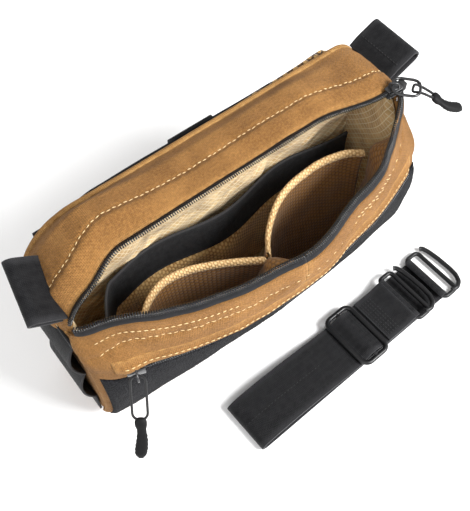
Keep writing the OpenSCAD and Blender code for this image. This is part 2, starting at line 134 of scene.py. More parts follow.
def centre_y(z):
    return SEAM_Y - LEAN * follow(CENTRE_PROFILE, z / FRONT_H)


def edge_y(z):
    return CORNER_Y - CORNER_BULGE * follow(CORNER_PROFILE, z / FRONT_H)


def front_y(x, z):
    sag = edge_y(z) - centre_y(z)
    r = (HALF_W ** 2 + sag ** 2) / (2 * sag)
    return centre_y(z) + r - math.sqrt(max(r * r - x * x, 0))


def front_skin(x, z):
    """The front's outer face, with the slack wave of its unsupported top edge."""
    slack = smooth((z - 0.07) / 0.08)
    wave = 2.6 * bump_at(x, 44 * MM, 20 * MM) - 1.8 * bump_at(x, 5 * MM, 24 * MM)
    return front_y(x, z) + slack * wave * MM


def outline_z(x):
    """Height of the pack's outline over x."""
    if x < -HALF_W + LEFT_R:
        return LEFT_Z + math.sqrt(max(LEFT_R ** 2 - (x + HALF_W - LEFT_R) ** 2, 0))
    if x > HALF_W - RIGHT_R:
        return RIGHT_Z + math.sqrt(max(RIGHT_R ** 2 - (x - HALF_W + RIGHT_R) ** 2, 0))
    return PACK_H


def outline_x(z, side):
    """Half width of the pack's outline at height z, on one side."""
    top_r = RIGHT_R if side > 0 else LEFT_R
    if z < FOOT_R:
        return HALF_W - FOOT_R + math.sqrt(max(FOOT_R ** 2 - (FOOT_R - z) ** 2, 0))
    if z > PACK_H - top_r:
        return HALF_W - top_r + math.sqrt(max(top_r ** 2 - (z - PACK_H + top_r) ** 2, 0))
    return HALF_W


def straight(x0, z0, x1, z1):
    length = math.hypot(x1 - x0, z1 - z0)
    dx, dz = (x1 - x0) / length, (z1 - z0) / length
    return length, lambda s: (x0 + dx * s, z0 + dz * s, -dz, dx)


def bend(cx, cz, r, from_deg, to_deg):
    a0, a1 = math.radians(from_deg), math.radians(to_deg)

    def at(s):
        a = a0 + math.copysign(s / r, a1 - a0)
        return cx + r * math.cos(a), cz + r * math.sin(a), math.cos(a), math.sin(a)

    return r * abs(a1 - a0), at


# The outline seen from the front, clockwise from the top of the left foot
RIM = [
    straight(-HALF_W, FOOT_R, -HALF_W, LEFT_Z),
    bend(-HALF_W + LEFT_R, LEFT_Z, LEFT_R, 180, 90),
    straight(-HALF_W + LEFT_R, PACK_H, HALF_W - RIGHT_R, PACK_H),
    bend(HALF_W - RIGHT_R, RIGHT_Z, RIGHT_R, 90, 0),
    straight(HALF_W, RIGHT_Z, HALF_W, FOOT_R),
    bend(HALF_W - FOOT_R, FOOT_R, FOOT_R, 0, -90),
    straight(HALF_W - FOOT_R, 0, -HALF_W + FOOT_R, 0),
    bend(-HALF_W + FOOT_R, FOOT_R, FOOT_R, -90, -180),
]
RIM_LENGTH = sum(length for length, at in RIM)


def rim(s):
    """Point (x, z) and outward normal (nx, nz) at arc length s round the outline."""
    s = s % RIM_LENGTH
    for length, at in RIM:
        if s <= length:
            return at(s)
        s -= length
    return RIM[-1][1](RIM[-1][0])


SEAM_UP = 6 * MM
S_LEFT = SEAM_UP
S_TOP = RIM[0][0]
S_RIGHT = S_TOP + RIM[1][0] + RIM[2][0] + RIM[3][0]
S_BASE = S_RIGHT + RIM[4][0] - SEAM_UP
S_END = RIM_LENGTH + SEAM_UP


LIP_EDGE = COIL.y + 2.4 * MM
LIP_BACK = 7.5 * MM
LIP_UP = 3.5 * MM
CORNER_ROUND = 5.5 * MM
CORNER_BACK = 4.5 * MM


def slack(x):
    """The rear lip's slack over x: none at the slider, full along the middle, gone past the left bend."""
    return smooth((110 * MM - x) / (52 * MM)) * smooth((x + 110 * MM) / (30 * MM))


def mouth_edge(x, z):
    """Y of the walls' front edge: the corner seam low down, the slack rear lip over the top."""
    corner = 0.9 * FRONT_H
    if z <= corner:
        return edge_y(z) + CORNER_BACK
    low = edge_y(corner) + CORNER_BACK
    return low + (LIP_EDGE + LIP_BACK * slack(x) - low) * smooth((z - corner) / (10 * MM))


# ---- Materials
def tint(r, g, b):
    """A colour given as 0 to 255 per channel, made linear."""
    def linear(c):
        c /= 255
        return c / 12.92 if c <= 0.04045 else ((c + 0.055) / 1.055) ** 2.4
    return (linear(r), linear(g), linear(b), 1.0)


class Finish:
    """A node material, with short calls for the few kinds of node used here."""

    def __init__(self, name, roughness, sheen=0.0, specular=0.5, metallic=0.0):
        self.material = bpy.data.materials.new(name)
        self.material.use_nodes = True
        self.nodes = self.material.node_tree.nodes
        self.links = self.material.node_tree.links
        self.shader = self.nodes["Principled BSDF"]
        self.shader.inputs["Roughness"].default_value = roughness
        self.shader.inputs["Sheen Weight"].default_value = sheen
        self.shader.inputs["Sheen Roughness"].default_value = 0.5
        self.shader.inputs["Specular IOR Level"].default_value = specular
        self.shader.inputs["Metallic"].default_value = metallic

    def put(self, socket, value):
        if isinstance(value, bpy.types.NodeSocket):
            self.links.new(value, socket)
        else:
            socket.default_value = value

    def calc(self, operation, a, b=0.0, c=0.0):
        node = self.nodes.new("ShaderNodeMath")
        node.operation = operation
        for socket, value in zip(node.inputs, (a, b, c)):
            self.put(socket, value)
        return node.outputs[0]

    def mix(self, amount, low, high, kind="MIX"):
        node = self.nodes.new("ShaderNodeMix")
        node.data_type = "RGBA"
        node.blend_type = kind
        self.put(node.inputs[0], amount)
        self.put(node.inputs[6], low)
        self.put(node.inputs[7], high)
        return node.outputs[2]

    def cut(self):
        """The piece's own UV map, in metres."""
        node = self.nodes.new("ShaderNodeUVMap")
        node.uv_map = "Cut"
        return node.outputs[0]

    def place(self):
        return self.nodes.new("ShaderNodeTexCoord").outputs["Object"]

    def attribute(self, name):
        node = self.nodes.new("ShaderNodeAttribute")
        node.attribute_name = name
        return node.outputs["Fac"]

    def cloud(self, coords, size, detail=3.0, roughness=0.55):
        node = self.nodes.new("ShaderNodeTexNoise")
        self.links.new(coords, node.inputs["Vector"])
        node.inputs["Scale"].default_value = 1 / size
        node.inputs["Detail"].default_value = detail
        node.inputs["Roughness"].default_value = roughness
        return node.outputs["Fac"]

    def ramp(self, value, low, high):
        node = self.nodes.new("ShaderNodeMapRange")
        self.links.new(value, node.inputs["Value"])
        node.inputs["From Min"].default_value = low
        node.inputs["From Max"].default_value = high
        return node.outputs[0]

    def split(self, coords):
        node = self.nodes.new("ShaderNodeSeparateXYZ")
        self.links.new(coords, node.inputs[0])
        return node.outputs

    def ridge(self, value, pitch):
        """Round ridges of one pitch along a coordinate, 0 to 1."""
        return self.calc("ABSOLUTE", self.calc("SINE", self.calc("MULTIPLY", value, math.pi / pitch)))

    def weave(self, coords, pitch):
        """Height of a plain weave, 0 to 1."""
        x, y, _ = self.split(coords)
        warp, weft = self.ridge(x, pitch), self.ridge(y, pitch)
        cell = self.calc("ADD", self.calc("FLOOR", self.calc("DIVIDE", x, pitch)),
                         self.calc("FLOOR", self.calc("DIVIDE", y, pitch)))
        over = self.calc("ABSOLUTE", self.calc("MODULO", cell, 2.0))
        return self.calc("MULTIPLY_ADD", over, self.calc("SUBTRACT", weft, warp), warp)

    def comb(self, coords, pitch):
        """Height of a honeycomb: three crossed waves, about -1.5 in the cells to 3 at their corners."""
        x, y, _ = self.split(coords)
        turn = 2 * math.pi / pitch
        total = self.calc("COSINE", self.calc("MULTIPLY", x, turn))
        for side in (1, -1):
            slant = self.calc("ADD", self.calc("MULTIPLY", x, -0.5), self.calc("MULTIPLY", y, side * 0.866))
            total = self.calc("ADD", total, self.calc("COSINE", self.calc("MULTIPLY", slant, turn)))
        return total

    def bump(self, height, distance, strength=1.0):
        node = self.nodes.new("ShaderNodeBump")
        node.inputs["Distance"].default_value = distance
        node.inputs["Strength"].default_value = strength
        self.links.new(height, node.inputs["Height"])
        if self.shader.inputs["Normal"].links:
            self.links.new(self.shader.inputs["Normal"].links[0].from_socket, node.inputs["Normal"])
        self.links.new(node.outputs[0], self.shader.inputs["Normal"])

    def colour(self, value):
        self.put(self.shader.inputs["Base Color"], value)


def woven(name, light, dark, pale, pitch, relief, sheen=0.05):
    """A heathered plain-weave cloth with light threads, painted shade between the threads, darker patches
    and pale worn edges.
    """
    f = Finish(name, roughness=0.9, sheen=sheen, specular=0.15)
    cut = f.cut()
    weave = f.weave(cut, pitch)
    fleck = f.ramp(f.cloud(cut, 1.6 * MM, detail=4, roughness=0.75), 0.3, 0.66)
    patch = f.ramp(f.cloud(f.place(), 18 * MM, detail=4), 0.35, 0.7)
    base = f.mix(f.calc("MULTIPLY_ADD", fleck, 0.62, f.calc("MULTIPLY", patch, 0.38)), dark, light)
    # painted shade: the cloth is darkened where the weave is low, between its threads
    base = f.mix(f.calc("MULTIPLY", f.calc("SUBTRACT", 1.0, weave), 0.7), base, dark)
    worn = f.calc("MULTIPLY", f.attribute("Worn"), f.ramp(f.cloud(cut, 3 * MM), 0.3, 0.9))
    f.colour(f.mix(worn, base, pale))
    f.bump(weave, relief)
    f.bump(fleck, relief)
    return f.material


def ripstop():
    """Thin shiny lining: a fine weave crossed by a raised, lighter grid, with painted shade in its creases.
    """
    f = Finish("Ripstop lining", roughness=0.5, sheen=0.2)
    cut = f.cut()
    x, y, _ = f.split(cut)
    diagonal = [f.calc("ADD", x, y), f.calc("SUBTRACT", x, y)]
    lines = [f.ramp(f.ridge(d, 4.6 * MM), 0.30, 0.10) for d in diagonal]
    grid = f.calc("MAXIMUM", lines[0], lines[1])
    creases = f.cloud(cut, 11 * MM, detail=4)
    # painted shade: the lining is darker in the hollows of its creases, from the same noise as the crease
    # bump
    base = f.mix(f.ramp(creases, 0.35, 0.65), tint(196, 158, 100), tint(238, 206, 148))
    f.colour(f.mix(f.calc("MULTIPLY", grid, 0.85), base, tint(255, 244, 212)))
    f.bump(f.calc("ADD", f.weave(cut, 0.5 * MM), grid), 0.12 * MM)
    f.bump(creases, 1.2 * MM, 0.6)
    return f.material


def honeycomb(name, cell, light, dark, relief=0.3 * MM):
    """Lining embossed with a honeycomb, with painted shade darkening the sunken cells."""
    f = Finish(name, roughness=0.6, sheen=0.15, specular=0.35)
    cut = f.cut()
    comb = f.ramp(f.comb(cut, cell), -1.4, 0.9)
    tone = f.ramp(f.cloud(cut, 9 * MM, detail=4), 0.3, 0.7)
    base = f.mix(comb, f.mix(tone, dark, light), light)
    # painted shade: the colour darkens into the sunken cells, following the same height as the bump
    f.colour(f.mix(f.calc("MULTIPLY_ADD", comb, 0.5, 0.4), dark, base))
    f.bump(comb, relief)
    return f.material


def spacer():
    """Open three-layer mesh: round holes in a thick knit, with painted shade down in the holes."""
    f = Finish("Spacer mesh", roughness=0.8, sheen=0.4, specular=0.2)
    place = f.place()
    x, y, z = f.split(place)
    flat = f.nodes.new("ShaderNodeCombineXYZ")
    f.links.new(x, flat.inputs[0])
    f.links.new(f.calc("ADD", z, f.calc("MULTIPLY", y, 0.8)), flat.inputs[1])
    hole = f.ramp(f.comb(flat.outputs[0], 4.2 * MM), -1.1, 0.2)
    knit = f.cloud(place, 0.8 * MM, detail=2)
    base = f.mix(f.ramp(knit, 0.35, 0.65), tint(150, 112, 60), tint(206, 168, 108))
    # painted shade: the holes take a dark brown for the shade down in them
    f.colour(f.mix(hole, tint(70, 46, 20), base))
    f.bump(hole, 0.8 * MM)
    f.bump(knit, 0.3 * MM)
    return f.material


def webbing(name, tone, rib, relief, roughness=0.62, sheen=0.04):
    """Black nylon webbing: chevron ribs across its length with a painted highlight on their tops, a bright
    dusty thread here and there.
    """
    f = Finish(name, roughness=roughness, sheen=sheen, specular=0.1)
    cut = f.cut()
    x, y, _ = f.split(cut)
    chevron = f.calc("ADD", y, f.calc("MULTIPLY", f.calc("PINGPONG", x, 2.4 * MM), 0.8))
    ribs = f.calc("MULTIPLY", f.ridge(chevron, rib), f.ridge(x, rib * 0.8))
    dust = f.cloud(cut, 5 * MM, detail=5, roughness=0.7)
    base = f.mix(f.ramp(dust, 0.35, 0.75), tint(tone - 12, tone - 12, tone - 10),
                 tint(tone + 14, tone + 14, tone + 15))
    worn = f.calc("MULTIPLY", f.attribute("Worn"), 0.5)
    # painted highlight: the raised ribs are mixed towards a lighter black, from the same height as the bump
    f.colour(f.mix(worn, f.mix(f.calc("MULTIPLY", ribs, 0.35), base, tint(tone + 30, tone + 30, tone + 32)),
                   tint(tone + 44, tone + 44, tone + 46)))
    f.bump(ribs, relief)
    return f.material


def pile():
    """Loop fabric: a dense fuzz of tiny nylon loops, with painted shade between them and painted highlight
    on their tops.
    """
    f = Finish("Loop pile", roughness=0.95, sheen=0.03, specular=0.08)
    place = f.place()
    cells = f.nodes.new("ShaderNodeTexVoronoi")
    f.links.new(place, cells.inputs["Vector"])
    cells.inputs["Scale"].default_value = 1 / (1.1 * MM)
    fuzz = f.cloud(place, 1.6 * MM, detail=5, roughness=0.75)
    patch = f.cloud(place, 14 * MM, detail=3)
    height = f.calc("SUBTRACT", fuzz, cells.outputs["Distance"])
    # painted shade and highlight: near black down between the loops, lighter on their tops, from the same
    # height as the bump
    base = f.mix(f.ramp(height, -0.3, 0.5), tint(4, 4, 5), tint(38, 38, 42))
    f.colour(f.mix(f.calc("MULTIPLY", f.ramp(patch, 0.4, 0.7), 0.3), base, tint(46, 46, 50)))
    f.bump(height, 0.9 * MM)
    return f.material


def moulded(name, tone, roughness, grain, relief, edge=0.0, metallic=0.0, specular=0.5):
    """Black moulded or lacquered part: fine grain, slight mottling, lighter where it is rubbed."""
    f = Finish(name, roughness=roughness, specular=specular, metallic=metallic)
    place = f.place()
    speck = f.cloud(place, grain, detail=3)
    base = f.mix(f.ramp(speck, 0.35, 0.7), tint(tone - 6, tone - 6, tone - 5),
                 tint(tone + 8, tone + 8, tone + 9))
    if edge:
        convex = f.nodes.new("ShaderNodeNewGeometry").outputs["Pointiness"]
        rubbed = f.calc("MULTIPLY", f.ramp(convex, 0.52, 0.62), edge)
        base = f.mix(rubbed, base, tint(tone + 70, tone + 70, tone + 72))
    f.colour(base)
    f.bump(speck, relief)
    return f.material


def braid():
    """Round braided cord: two sets of strands crossing on Object coordinates, with a painted highlight on
    the raised strands.
    """
    f = Finish("Braided cord", roughness=0.55, sheen=0.05, specular=0.3)
    place = f.place()
    x, y, z = f.split(place)
    along = f.calc("ADD", f.calc("ADD", x, y), z)
    across = f.calc("SUBTRACT", f.calc("SUBTRACT", x, y), z)
    strands = f.calc("MULTIPLY", f.ridge(along, 0.9 * MM), f.ridge(across, 0.9 * MM))
    # painted highlight: the strands are lighter where they stand up, darker in the grooves between them
    f.colour(f.mix(strands, tint(8, 8, 9), tint(40, 40, 42)))
    f.bump(strands, 0.25 * MM)
    return f.material


def thread():
    f = Finish("Cream thread", roughness=0.6, sheen=0.3)
    f.colour(f.mix(f.ramp(f.cloud(f.place(), 0.7 * MM), 0.3, 0.7), tint(190, 152, 94), tint(232, 206, 152)))
    return f.material


CANVAS = woven("Coyote canvas", tint(178, 130, 74), tint(98, 64, 28), tint(200, 154, 94), 0.95 * MM,
               0.3 * MM)
BINDING = woven("Binding tape", tint(184, 138, 80), tint(110, 74, 34), tint(210, 172, 114), 1.2 * MM,
                0.3 * MM)
RIPSTOP = ripstop()
ORGANISER = honeycomb("Organiser fabric", 2.8 * MM, tint(222, 186, 126), tint(150, 108, 58))
# A darker copy of the organiser's honeycomb lining: painted shade for the lining inside the front and the
# slip pockets, which share its slot
SHADED_POCKET_LINING = honeycomb("Pocket lining painted shade", 2.8 * MM, tint(146, 102, 46), tint(92, 60, 22))
HEM = honeycomb("Pocket hem", 2.2 * MM, tint(228, 196, 142), tint(160, 118, 68), 0.4 * MM)
MESH = spacer()
WEBBING = webbing("Harness webbing", 13, 1.3 * MM, 0.25 * MM, roughness=0.42)
SIDE_WEBBING = webbing("Pack webbing", 13, 1.1 * MM, 0.2 * MM)
ELASTIC = webbing("Organiser elastic", 22, 0.8 * MM, 0.1 * MM, roughness=0.9)
TAPE = webbing("Zipper tape", 13, 0.7 * MM, 0.08 * MM, roughness=0.75)
PILE = pile()
COIL_NYLON = moulded("Coil nylon", 22, 0.22, 0.6 * MM, 0.02 * MM, specular=0.8)
LACQUER = moulded("Black lacquer", 18, 0.24, 0.9 * MM, 0.03 * MM, edge=0.35, specular=0.45)
CAST = moulded("Cast hardware", 12, 0.3, 0.5 * MM, 0.05 * MM, edge=0.22, specular=0.3)
RUBBER = moulded("Grip rubber", 14, 0.6, 0.35 * MM, 0.06 * MM, edge=0.12, specular=0.15)
CORD = braid()
THREAD = thread()
BLACK_THREAD = moulded("Black thread", 20, 0.7, 0.5 * MM, 0.02 * MM)


# ---- Making pieces
def as_object(name, bm, finish):
    mesh = bpy.data.meshes.new(name)
    bm.to_mesh(mesh)
    bm.free()
    for face in mesh.polygons:
        face.use_smooth = True
    piece = bpy.data.objects.new(name, mesh)
    bpy.context.scene.collection.objects.link(piece)
    mesh.materials.append(finish)
    return piece


def settle(piece, body, slot, *nodes):
    """The piece rides a body and may stand for CAD nodes; the slot is not used."""
    if body:
        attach(piece, body)
    if nodes:
        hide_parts(*nodes)
    return piece


def cloth(name, flat, cells, place, thick, finish, side=-1.0, worn=2 * MM, flip=False):
    """A sheet cut to flat = (width, length), with that UV map in metres, laid out by place(u, v)."""
    bm = bmesh.new()
    cut = bm.loops.layers.uv.new("Cut")
    edge = bm.verts.layers.float.new("Worn")
    bmesh.ops.create_grid(bm, x_segments=cells[0], y_segments=cells[1], size=0.5)
    for face in bm.faces:
        for loop in face.loops:
            at = loop.vert.co
            loop[cut].uv = ((at.x + 0.5) * flat[0], (at.y + 0.5) * flat[1])
    for vert in bm.verts:
        u, v = vert.co.x + 0.5, vert.co.y + 0.5
        near = min(min(u, 1 - u) * flat[0], min(v, 1 - v) * flat[1])
        vert[edge] = math.exp(-near / worn)
        vert.co = place(u, v)
    if flip:
        bmesh.ops.reverse_faces(bm, faces=bm.faces[:])
    piece = as_object(name, bm, finish)
    if thick:
        wall = piece.modifiers.new("Thickness", "SOLIDIFY")
        wall.thickness = thick
        wall.offset = side
    return piece


def rod(name, points, radius, finish, closed=False, round_by=3):
    """A round rod or cord along points, made from a bevelled curve."""
    curve = bpy.data.curves.new(name + "_line", "CURVE")
    curve.dimensions = "3D"
    curve.bevel_depth = radius
    curve.bevel_resolution = round_by
    curve.use_fill_caps = True
    line = curve.splines.new("POLY")
    line.points.add(len(points) - 1)
    for point, at in zip(line.points, points):
        point.co = (*at, 1)
    line.use_cyclic_u = closed
    holder = bpy.data.objects.new(name + "_line", curve)
    bpy.context.scene.collection.objects.link(holder)
    mesh = bpy.data.meshes.new_from_object(holder.evaluated_get(bpy.context.evaluated_depsgraph_get()))
    bpy.data.objects.remove(holder)
    mesh.name = name
    mesh.materials.clear()
    mesh.materials.append(finish)
    for face in mesh.polygons:
        face.use_smooth = True
    piece = bpy.data.objects.new(name, mesh)
    bpy.context.scene.collection.objects.link(piece)
    return piece


def join(name, pieces):
    """Several made meshes as one piece."""
    bm = bmesh.new()
    for piece in pieces:
        bm.from_mesh(piece.data)
    finish = pieces[0].data.materials[0]
    for piece in pieces:
        bpy.data.objects.remove(piece)
    return as_object(name, bm, finish)


def trace(at, steps, start=0.0, end=1.0):
    return [at(start + (end - start) * i / steps) for i in range(steps + 1)]


def stitches(name, points, finish=THREAD, pitch=3.7 * MM, length=2.9 * MM, thickness=0.3 * MM):
    """A row of thread stitches lying along points."""
    bm = bmesh.new()
    travel = 0.0
    due = pitch / 2
    for a, b in zip(points, points[1:]):
        step = (b - a).length
        while step > 0 and due <= travel + step:
            at = a.lerp(b, (due - travel) / step)
            turn = (b - a).to_track_quat("X", "Z").to_matrix().to_4x4()
            size = Matrix.Diagonal((length / 2, thickness, thickness, 1))
            bmesh.ops.create_icosphere(bm, subdivisions=1, radius=1,
                                       matrix=Matrix.Translation(at) @ turn @ size)
            due += pitch
        travel += step
    return as_object(name, bm, finish)


def zipper_coil(name, points, radius, wire, pitch=1.45 * MM):
    """The monofilament helix of a coil zipper, wound round a line."""
    marks = [0.0]
    for a, b in zip(points, points[1:]):
        marks.append(marks[-1] + (b - a).length)
    turns = marks[-1] / pitch
    count = int(turns * 9)
    line = []
    k = 0
    for i in range(count + 1):
        s = marks[-1] * i / count
        while k < len(marks) - 2 and marks[k + 1] < s:
            k += 1
        a, b = points[k], points[k + 1]
        at = a.lerp(b, (s - marks[k]) / (marks[k + 1] - marks[k]))
        forward = (b - a).normalized()
        out = forward.cross(Z_AXIS).normalized()
        turn = 2 * math.pi * s / pitch
        line.append(at + out * (radius * 1.15 * math.cos(turn)) + forward.cross(out) * (radius * 0.8
                                                                                        * math.sin(turn)))
    return rod(name, line, wire, COIL_NYLON, round_by=0)


def crumple(x, y, z, size, height):
    return height * noise.noise(Vector((x, y, z)) / size)


# ---- Canvas walls
STITCH_BACK = 15 * MM


def top_bulge(x, y):
    """How far the stuffed top stands off the outline."""
    back = smooth((INNER_BACK + 3 * MM - y) / (12 * MM))
    over = smooth((y - LIP_EDGE - LIP_BACK * slack(x)) / (12 * MM))
    rise = 7.5 * bump_at(x, -82 * MM, 32 * MM) + 2.2 + 1.0 * math.sin(x / (31 * MM))
    return back * (over * rise * MM + LIP_UP * slack(x))


def wall_sheet(name, s0, s1, cells, depth, lift):
    """A canvas strip that follows the outline from s0 to s1, back edge to front edge."""
    def place(u, v):
        s = s0 + (s1 - s0) * u
        x, z, nx, nz = rim(s)
        y = BACK_FACE + (mouth_edge(x, z) - BACK_FACE) * v
        out = lift(s, y, v, x, z)
        return Vector((x + nx * out, y, z + nz * out))
    return cloth(name, (s1 - s0, depth), cells, place, 1.6 * MM, CANVAS, worn=1.2 * MM, flip=True)


def top_lift(s, y, v, x, z):
    stitch_y = mouth_edge(x, z) + STITCH_BACK
    groove = -0.9 * MM * bump_at(y, stitch_y, 1.6 * MM)
    pucker = 0.35 * MM * math.sin(s / (1.15 * MM) + 2 * noise.noise(Vector((s / 0.01, 0, 0))))
    pucker *= bump_at(y, stitch_y, 5 * MM)
    roll = -1.6 * MM * smooth((v - 0.93) / 0.07) ** 2
    creases = crumple(s, y, 0, 26 * MM, 0.9 * MM) + crumple(s, y, 1, 9 * MM, 0.35 * MM)
    hem = 0.5 * MM * smooth((stitch_y - y) / (3 * MM)) * (1 - smooth((v - 0.9) / 0.1))
    return top_bulge(x, y) + groove + pucker + roll + creases * smooth(v / 0.15) + hem


def side_lift(s, y, v, x, z):
    puff = 1.4 * MM * math.sin(math.pi * min(max(v, 0), 1))
    seam = -1.0 * MM * (smooth((0.04 - v) / 0.04) + smooth((v - 0.96) / 0.04))
    return -0.9 * MM + puff * 0.4 + seam + crumple(s, y, 3, 20 * MM, 0.7 * MM)


def canvas_walls():
    top = wall_sheet("top_canvas", S_TOP, S_RIGHT, (230, 56), 46 * MM, top_lift)
    settle(top, "pack", "coyote_canvas", "top_panel", "left_shoulder", "right_shoulder")
    for name, s0, s1, node in (("left_side_canvas", S_LEFT, S_TOP, "left_gusset"),
                               ("right_side_canvas", S_RIGHT, S_BASE, "right_gusset"),
                               ("base_canvas", S_BASE, S_END, "bottom_gusset")):
        cells = (150, 24) if node == "bottom_gusset" else (60, 34)
        side = wall_sheet(name, s0, s1, cells, 66 * MM, side_lift)
        settle(side, "pack", "coyote_canvas", node)
    row = []
    for i in range(401):
        s = S_TOP + 3 * MM + (S_RIGHT - S_TOP - 6 * MM) * i / 400
        x, z, nx, nz = rim(s)
        y = mouth_edge(x, z) + STITCH_BACK
        v = (y - BACK_FACE) / (mouth_edge(x, z) - BACK_FACE)
        out = top_lift(s, y, v, x, z) + 0.5 * MM
        row.append(Vector((x + nx * out, y, z + nz * out)))
    settle(stitches("top_stitching", row), "pack", "coyote_canvas")


def back_panel():
    """The stiff back wall's canvas, and the binding tape folded over its edge all round."""
    def skin(u, v):
        z = 1.5 * MM + (PACK_H - 3 * MM) * v
        side = 1 if u > 0.5 else -1
        x = (2 * u - 1) * (outline_x(z, side) - 1.5 * MM)
        return Vector((x, BACK_FACE + crumple(x, z, 5, 24 * MM, 0.3 * MM), z))
    panel = cloth("back_canvas", (2 * HALF_W, PACK_H), (64, 44), skin, 3 * MM, CANVAS, side=1.0)
    settle(panel, "pack", "coyote_canvas", "back_wall")

    def tape(u, v):
        x, z, nx, nz = rim(RIM_LENGTH * u)
        turn = math.radians(-70 + 320 * v)
        out = -1.4 * MM + 2.2 * MM * math.cos(turn) + crumple(x, z, v, 6 * MM, 0.25 * MM)
        y = BACK_FACE - 0.2 * MM + 2.3 * MM * math.sin(turn)
        lift = top_bulge(x, BACK_FACE - 6 * MM) * 0.12 * max(nz, 0)
        return Vector((x + nx * (out + lift), y, z + nz * (out + lift)))
    edge = cloth("edge_binding", (RIM_LENGTH, 14 * MM), (320, 12), tape, 0.5 * MM, BINDING)
    settle(edge, "pack", "canvas_binding", "back_binding")


# ---- Front canvas
FRONT_EDGE = FRONT_H - 4.5 * MM


def front_top(x):
    """Height of the front canvas over x: its top dips under the left shoulder, and rises at the right."""
    dip = 11 * MM * smooth((-x - 100 * MM) / (28 * MM))
    rise = 7 * MM * smooth((x - 96 * MM) / (26 * MM))
    return FRONT_EDGE + rise - dip


def front_at(x, z, out=0.0):
    """A point of the front's outer face, moved out by a distance."""
    near = 1 * MM
    across = Vector((2 * near, front_skin(x + near, z) - front_skin(x - near, z), 0))
    up = Vector((0, front_skin(x, z + near) - front_skin(x, z - near), 2 * near))
    normal = across.cross(up).normalized()
    return Vector((x, front_skin(x, z), z)) + normal * out


def front_relief(x, z):
    """Seams, puckers and slack folds of the front canvas."""
    top = front_top(x)
    row = top - 13 * MM
    groove = -0.8 * MM * bump_at(z, row, 1.5 * MM)
    pucker = 0.3 * MM * math.sin(x / (1.2 * MM)) * bump_at(z, row, 4 * MM)
    flange = 0.6 * MM * smooth((z - row) / (2 * MM))
    pillow = 2.4 * MM * bump_at(z, POCKET_Z + 12 * MM, 12 * MM) * smooth((z - POCKET_Z) / (6 * MM))
    puff = 3.5 * MM * bump_at(x, -112 * MM, 11 * MM) * bump_at(z, POCKET_Z + 1 * MM, 12 * MM)
    folds = crumple(x, z, 7, 30 * MM, 1.5 * MM) + crumple(x + z, z, 9, 11 * MM, 0.5 * MM)
    foot = -3.5 * MM * smooth((12 * MM - z) / (12 * MM)) ** 2
    return groove + pucker + flange + pillow + puff + folds * smooth(z / (30 * MM)) + foot


def front_column(u):
    """Where a column of the front's grid stands, as a share of the width, closer at the corners."""
    t = 2 * u - 1
    return math.copysign(1 - (1 - abs(t)) ** 1.35, t) if abs(t) > 0 else 0.0


def front_place(t, z, out):
    side = 1 if t > 0 else -1
    half = outline_x(z, side) + 0.4 * MM
    x = t * half
    point = front_at(x, z, out)
    past = max(abs(x) - (half - CORNER_ROUND), 0) / CORNER_ROUND
    point.y += CORNER_BACK * (1 - math.sqrt(max(1 - min(past, 1) ** 2, 0)))
    return point


def front_blend(piece):
    """Bakes the piece's placement into its mesh."""
    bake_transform(piece)


def halves(name, make, slot, *nodes):
    """A piece across the whole front, as a left and a right half that each bend at their own corner."""
    for side, word in ((-1, "left"), (1, "right")):
        piece = make(f"{name}_{word}", side)
        front_blend(piece)
        settle(piece, None, slot, *nodes)


def front_canvas(name, side):
    def place(u, v):
        t = side * front_column(0.5 + 0.5 * u)
        top = front_top(t * HALF_W)
        if v <= 0.93:
            z = top * (v / 0.93)
            return front_place(t, z, front_relief(t * HALF_W, z))
        fold = (v - 0.93) / 0.07
        turn = math.radians(200 * fold)
        edge = front_place(t, top, front_relief(t * HALF_W, top))
        r = 1.4 * MM
        edge.y += r * (1 - math.cos(turn))
        edge.z += r * math.sin(turn)
        return edge
    sheet = cloth(name, (146 * MM, 168 * MM), (120, 110), place, 1.4 * MM, CANVAS, side=-1.0 * side,
                  worn=1.6 * MM)
    return sheet


def front_stitching():
    """Three rows: a short one near the edge on each side and a full one."""
    def row(name, drop, x0, x1):
        count = 300
        points = []
        for i in range(count + 1):
            x = x0 + (x1 - x0) * i / count
            z = front_top(x) - drop
            points.append(front_at(x, z, front_relief(x, z) + 0.3 * MM))
        settle(stitches(name, points), "front", "coyote_canvas")
    row("edge_stitching_left", 5.5 * MM, -119 * MM, -44 * MM)
    row("edge_stitching_right", 6.5 * MM, 46 * MM, 84 * MM)
    row("front_stitching", 13 * MM, -119 * MM, 112 * MM)


def front_edge_line(x, inward, z_up):
    """A point along the front edge of the mouth: x, moved in over the mouth and up."""
    top = front_top(x)
    point = front_place(x / HALF_W, top, front_relief(x, top))
    return point + Vector((0, inward, z_up))


def front_zipper():
    def tape(name, side):
        def place(u, v):
            x = side * u * (HALF_W - 2 * MM)
            lift = 3.8 * MM * v
            return front_edge_line(x, (1.2 + 2.6 * v) * MM,
                                   0.8 * MM + lift + 0.7 * MM * math.sin(math.pi * v))
        return cloth(name, (124 * MM, 5 * MM), (110, 6), place, 0.7 * MM, TAPE, side=0)
    halves("front_tape", tape, "zipper_tape", "front_zip_tape")

    def coil(name, side):
        points = trace(lambda t: front_edge_line(side * t * (HALF_W - 3 * MM), 4.2 * MM, 5.0 * MM), 150)
        return zipper_coil(name, points, 1.25 * MM, 0.42 * MM)
    halves("front_coil", coil, "zipper_coil", "front_zip_coil")


def rear_line(s):
    """A point of the rear coil's centre at arc length s: it follows the shoulder down on the left."""
    x, z, nx, nz = rim(s)
    out = LIP_UP * slack(x) - (PACK_H - COIL.z)
    return Vector((x + nx * out, COIL.y + LIP_BACK * slack(x), z + nz * out))


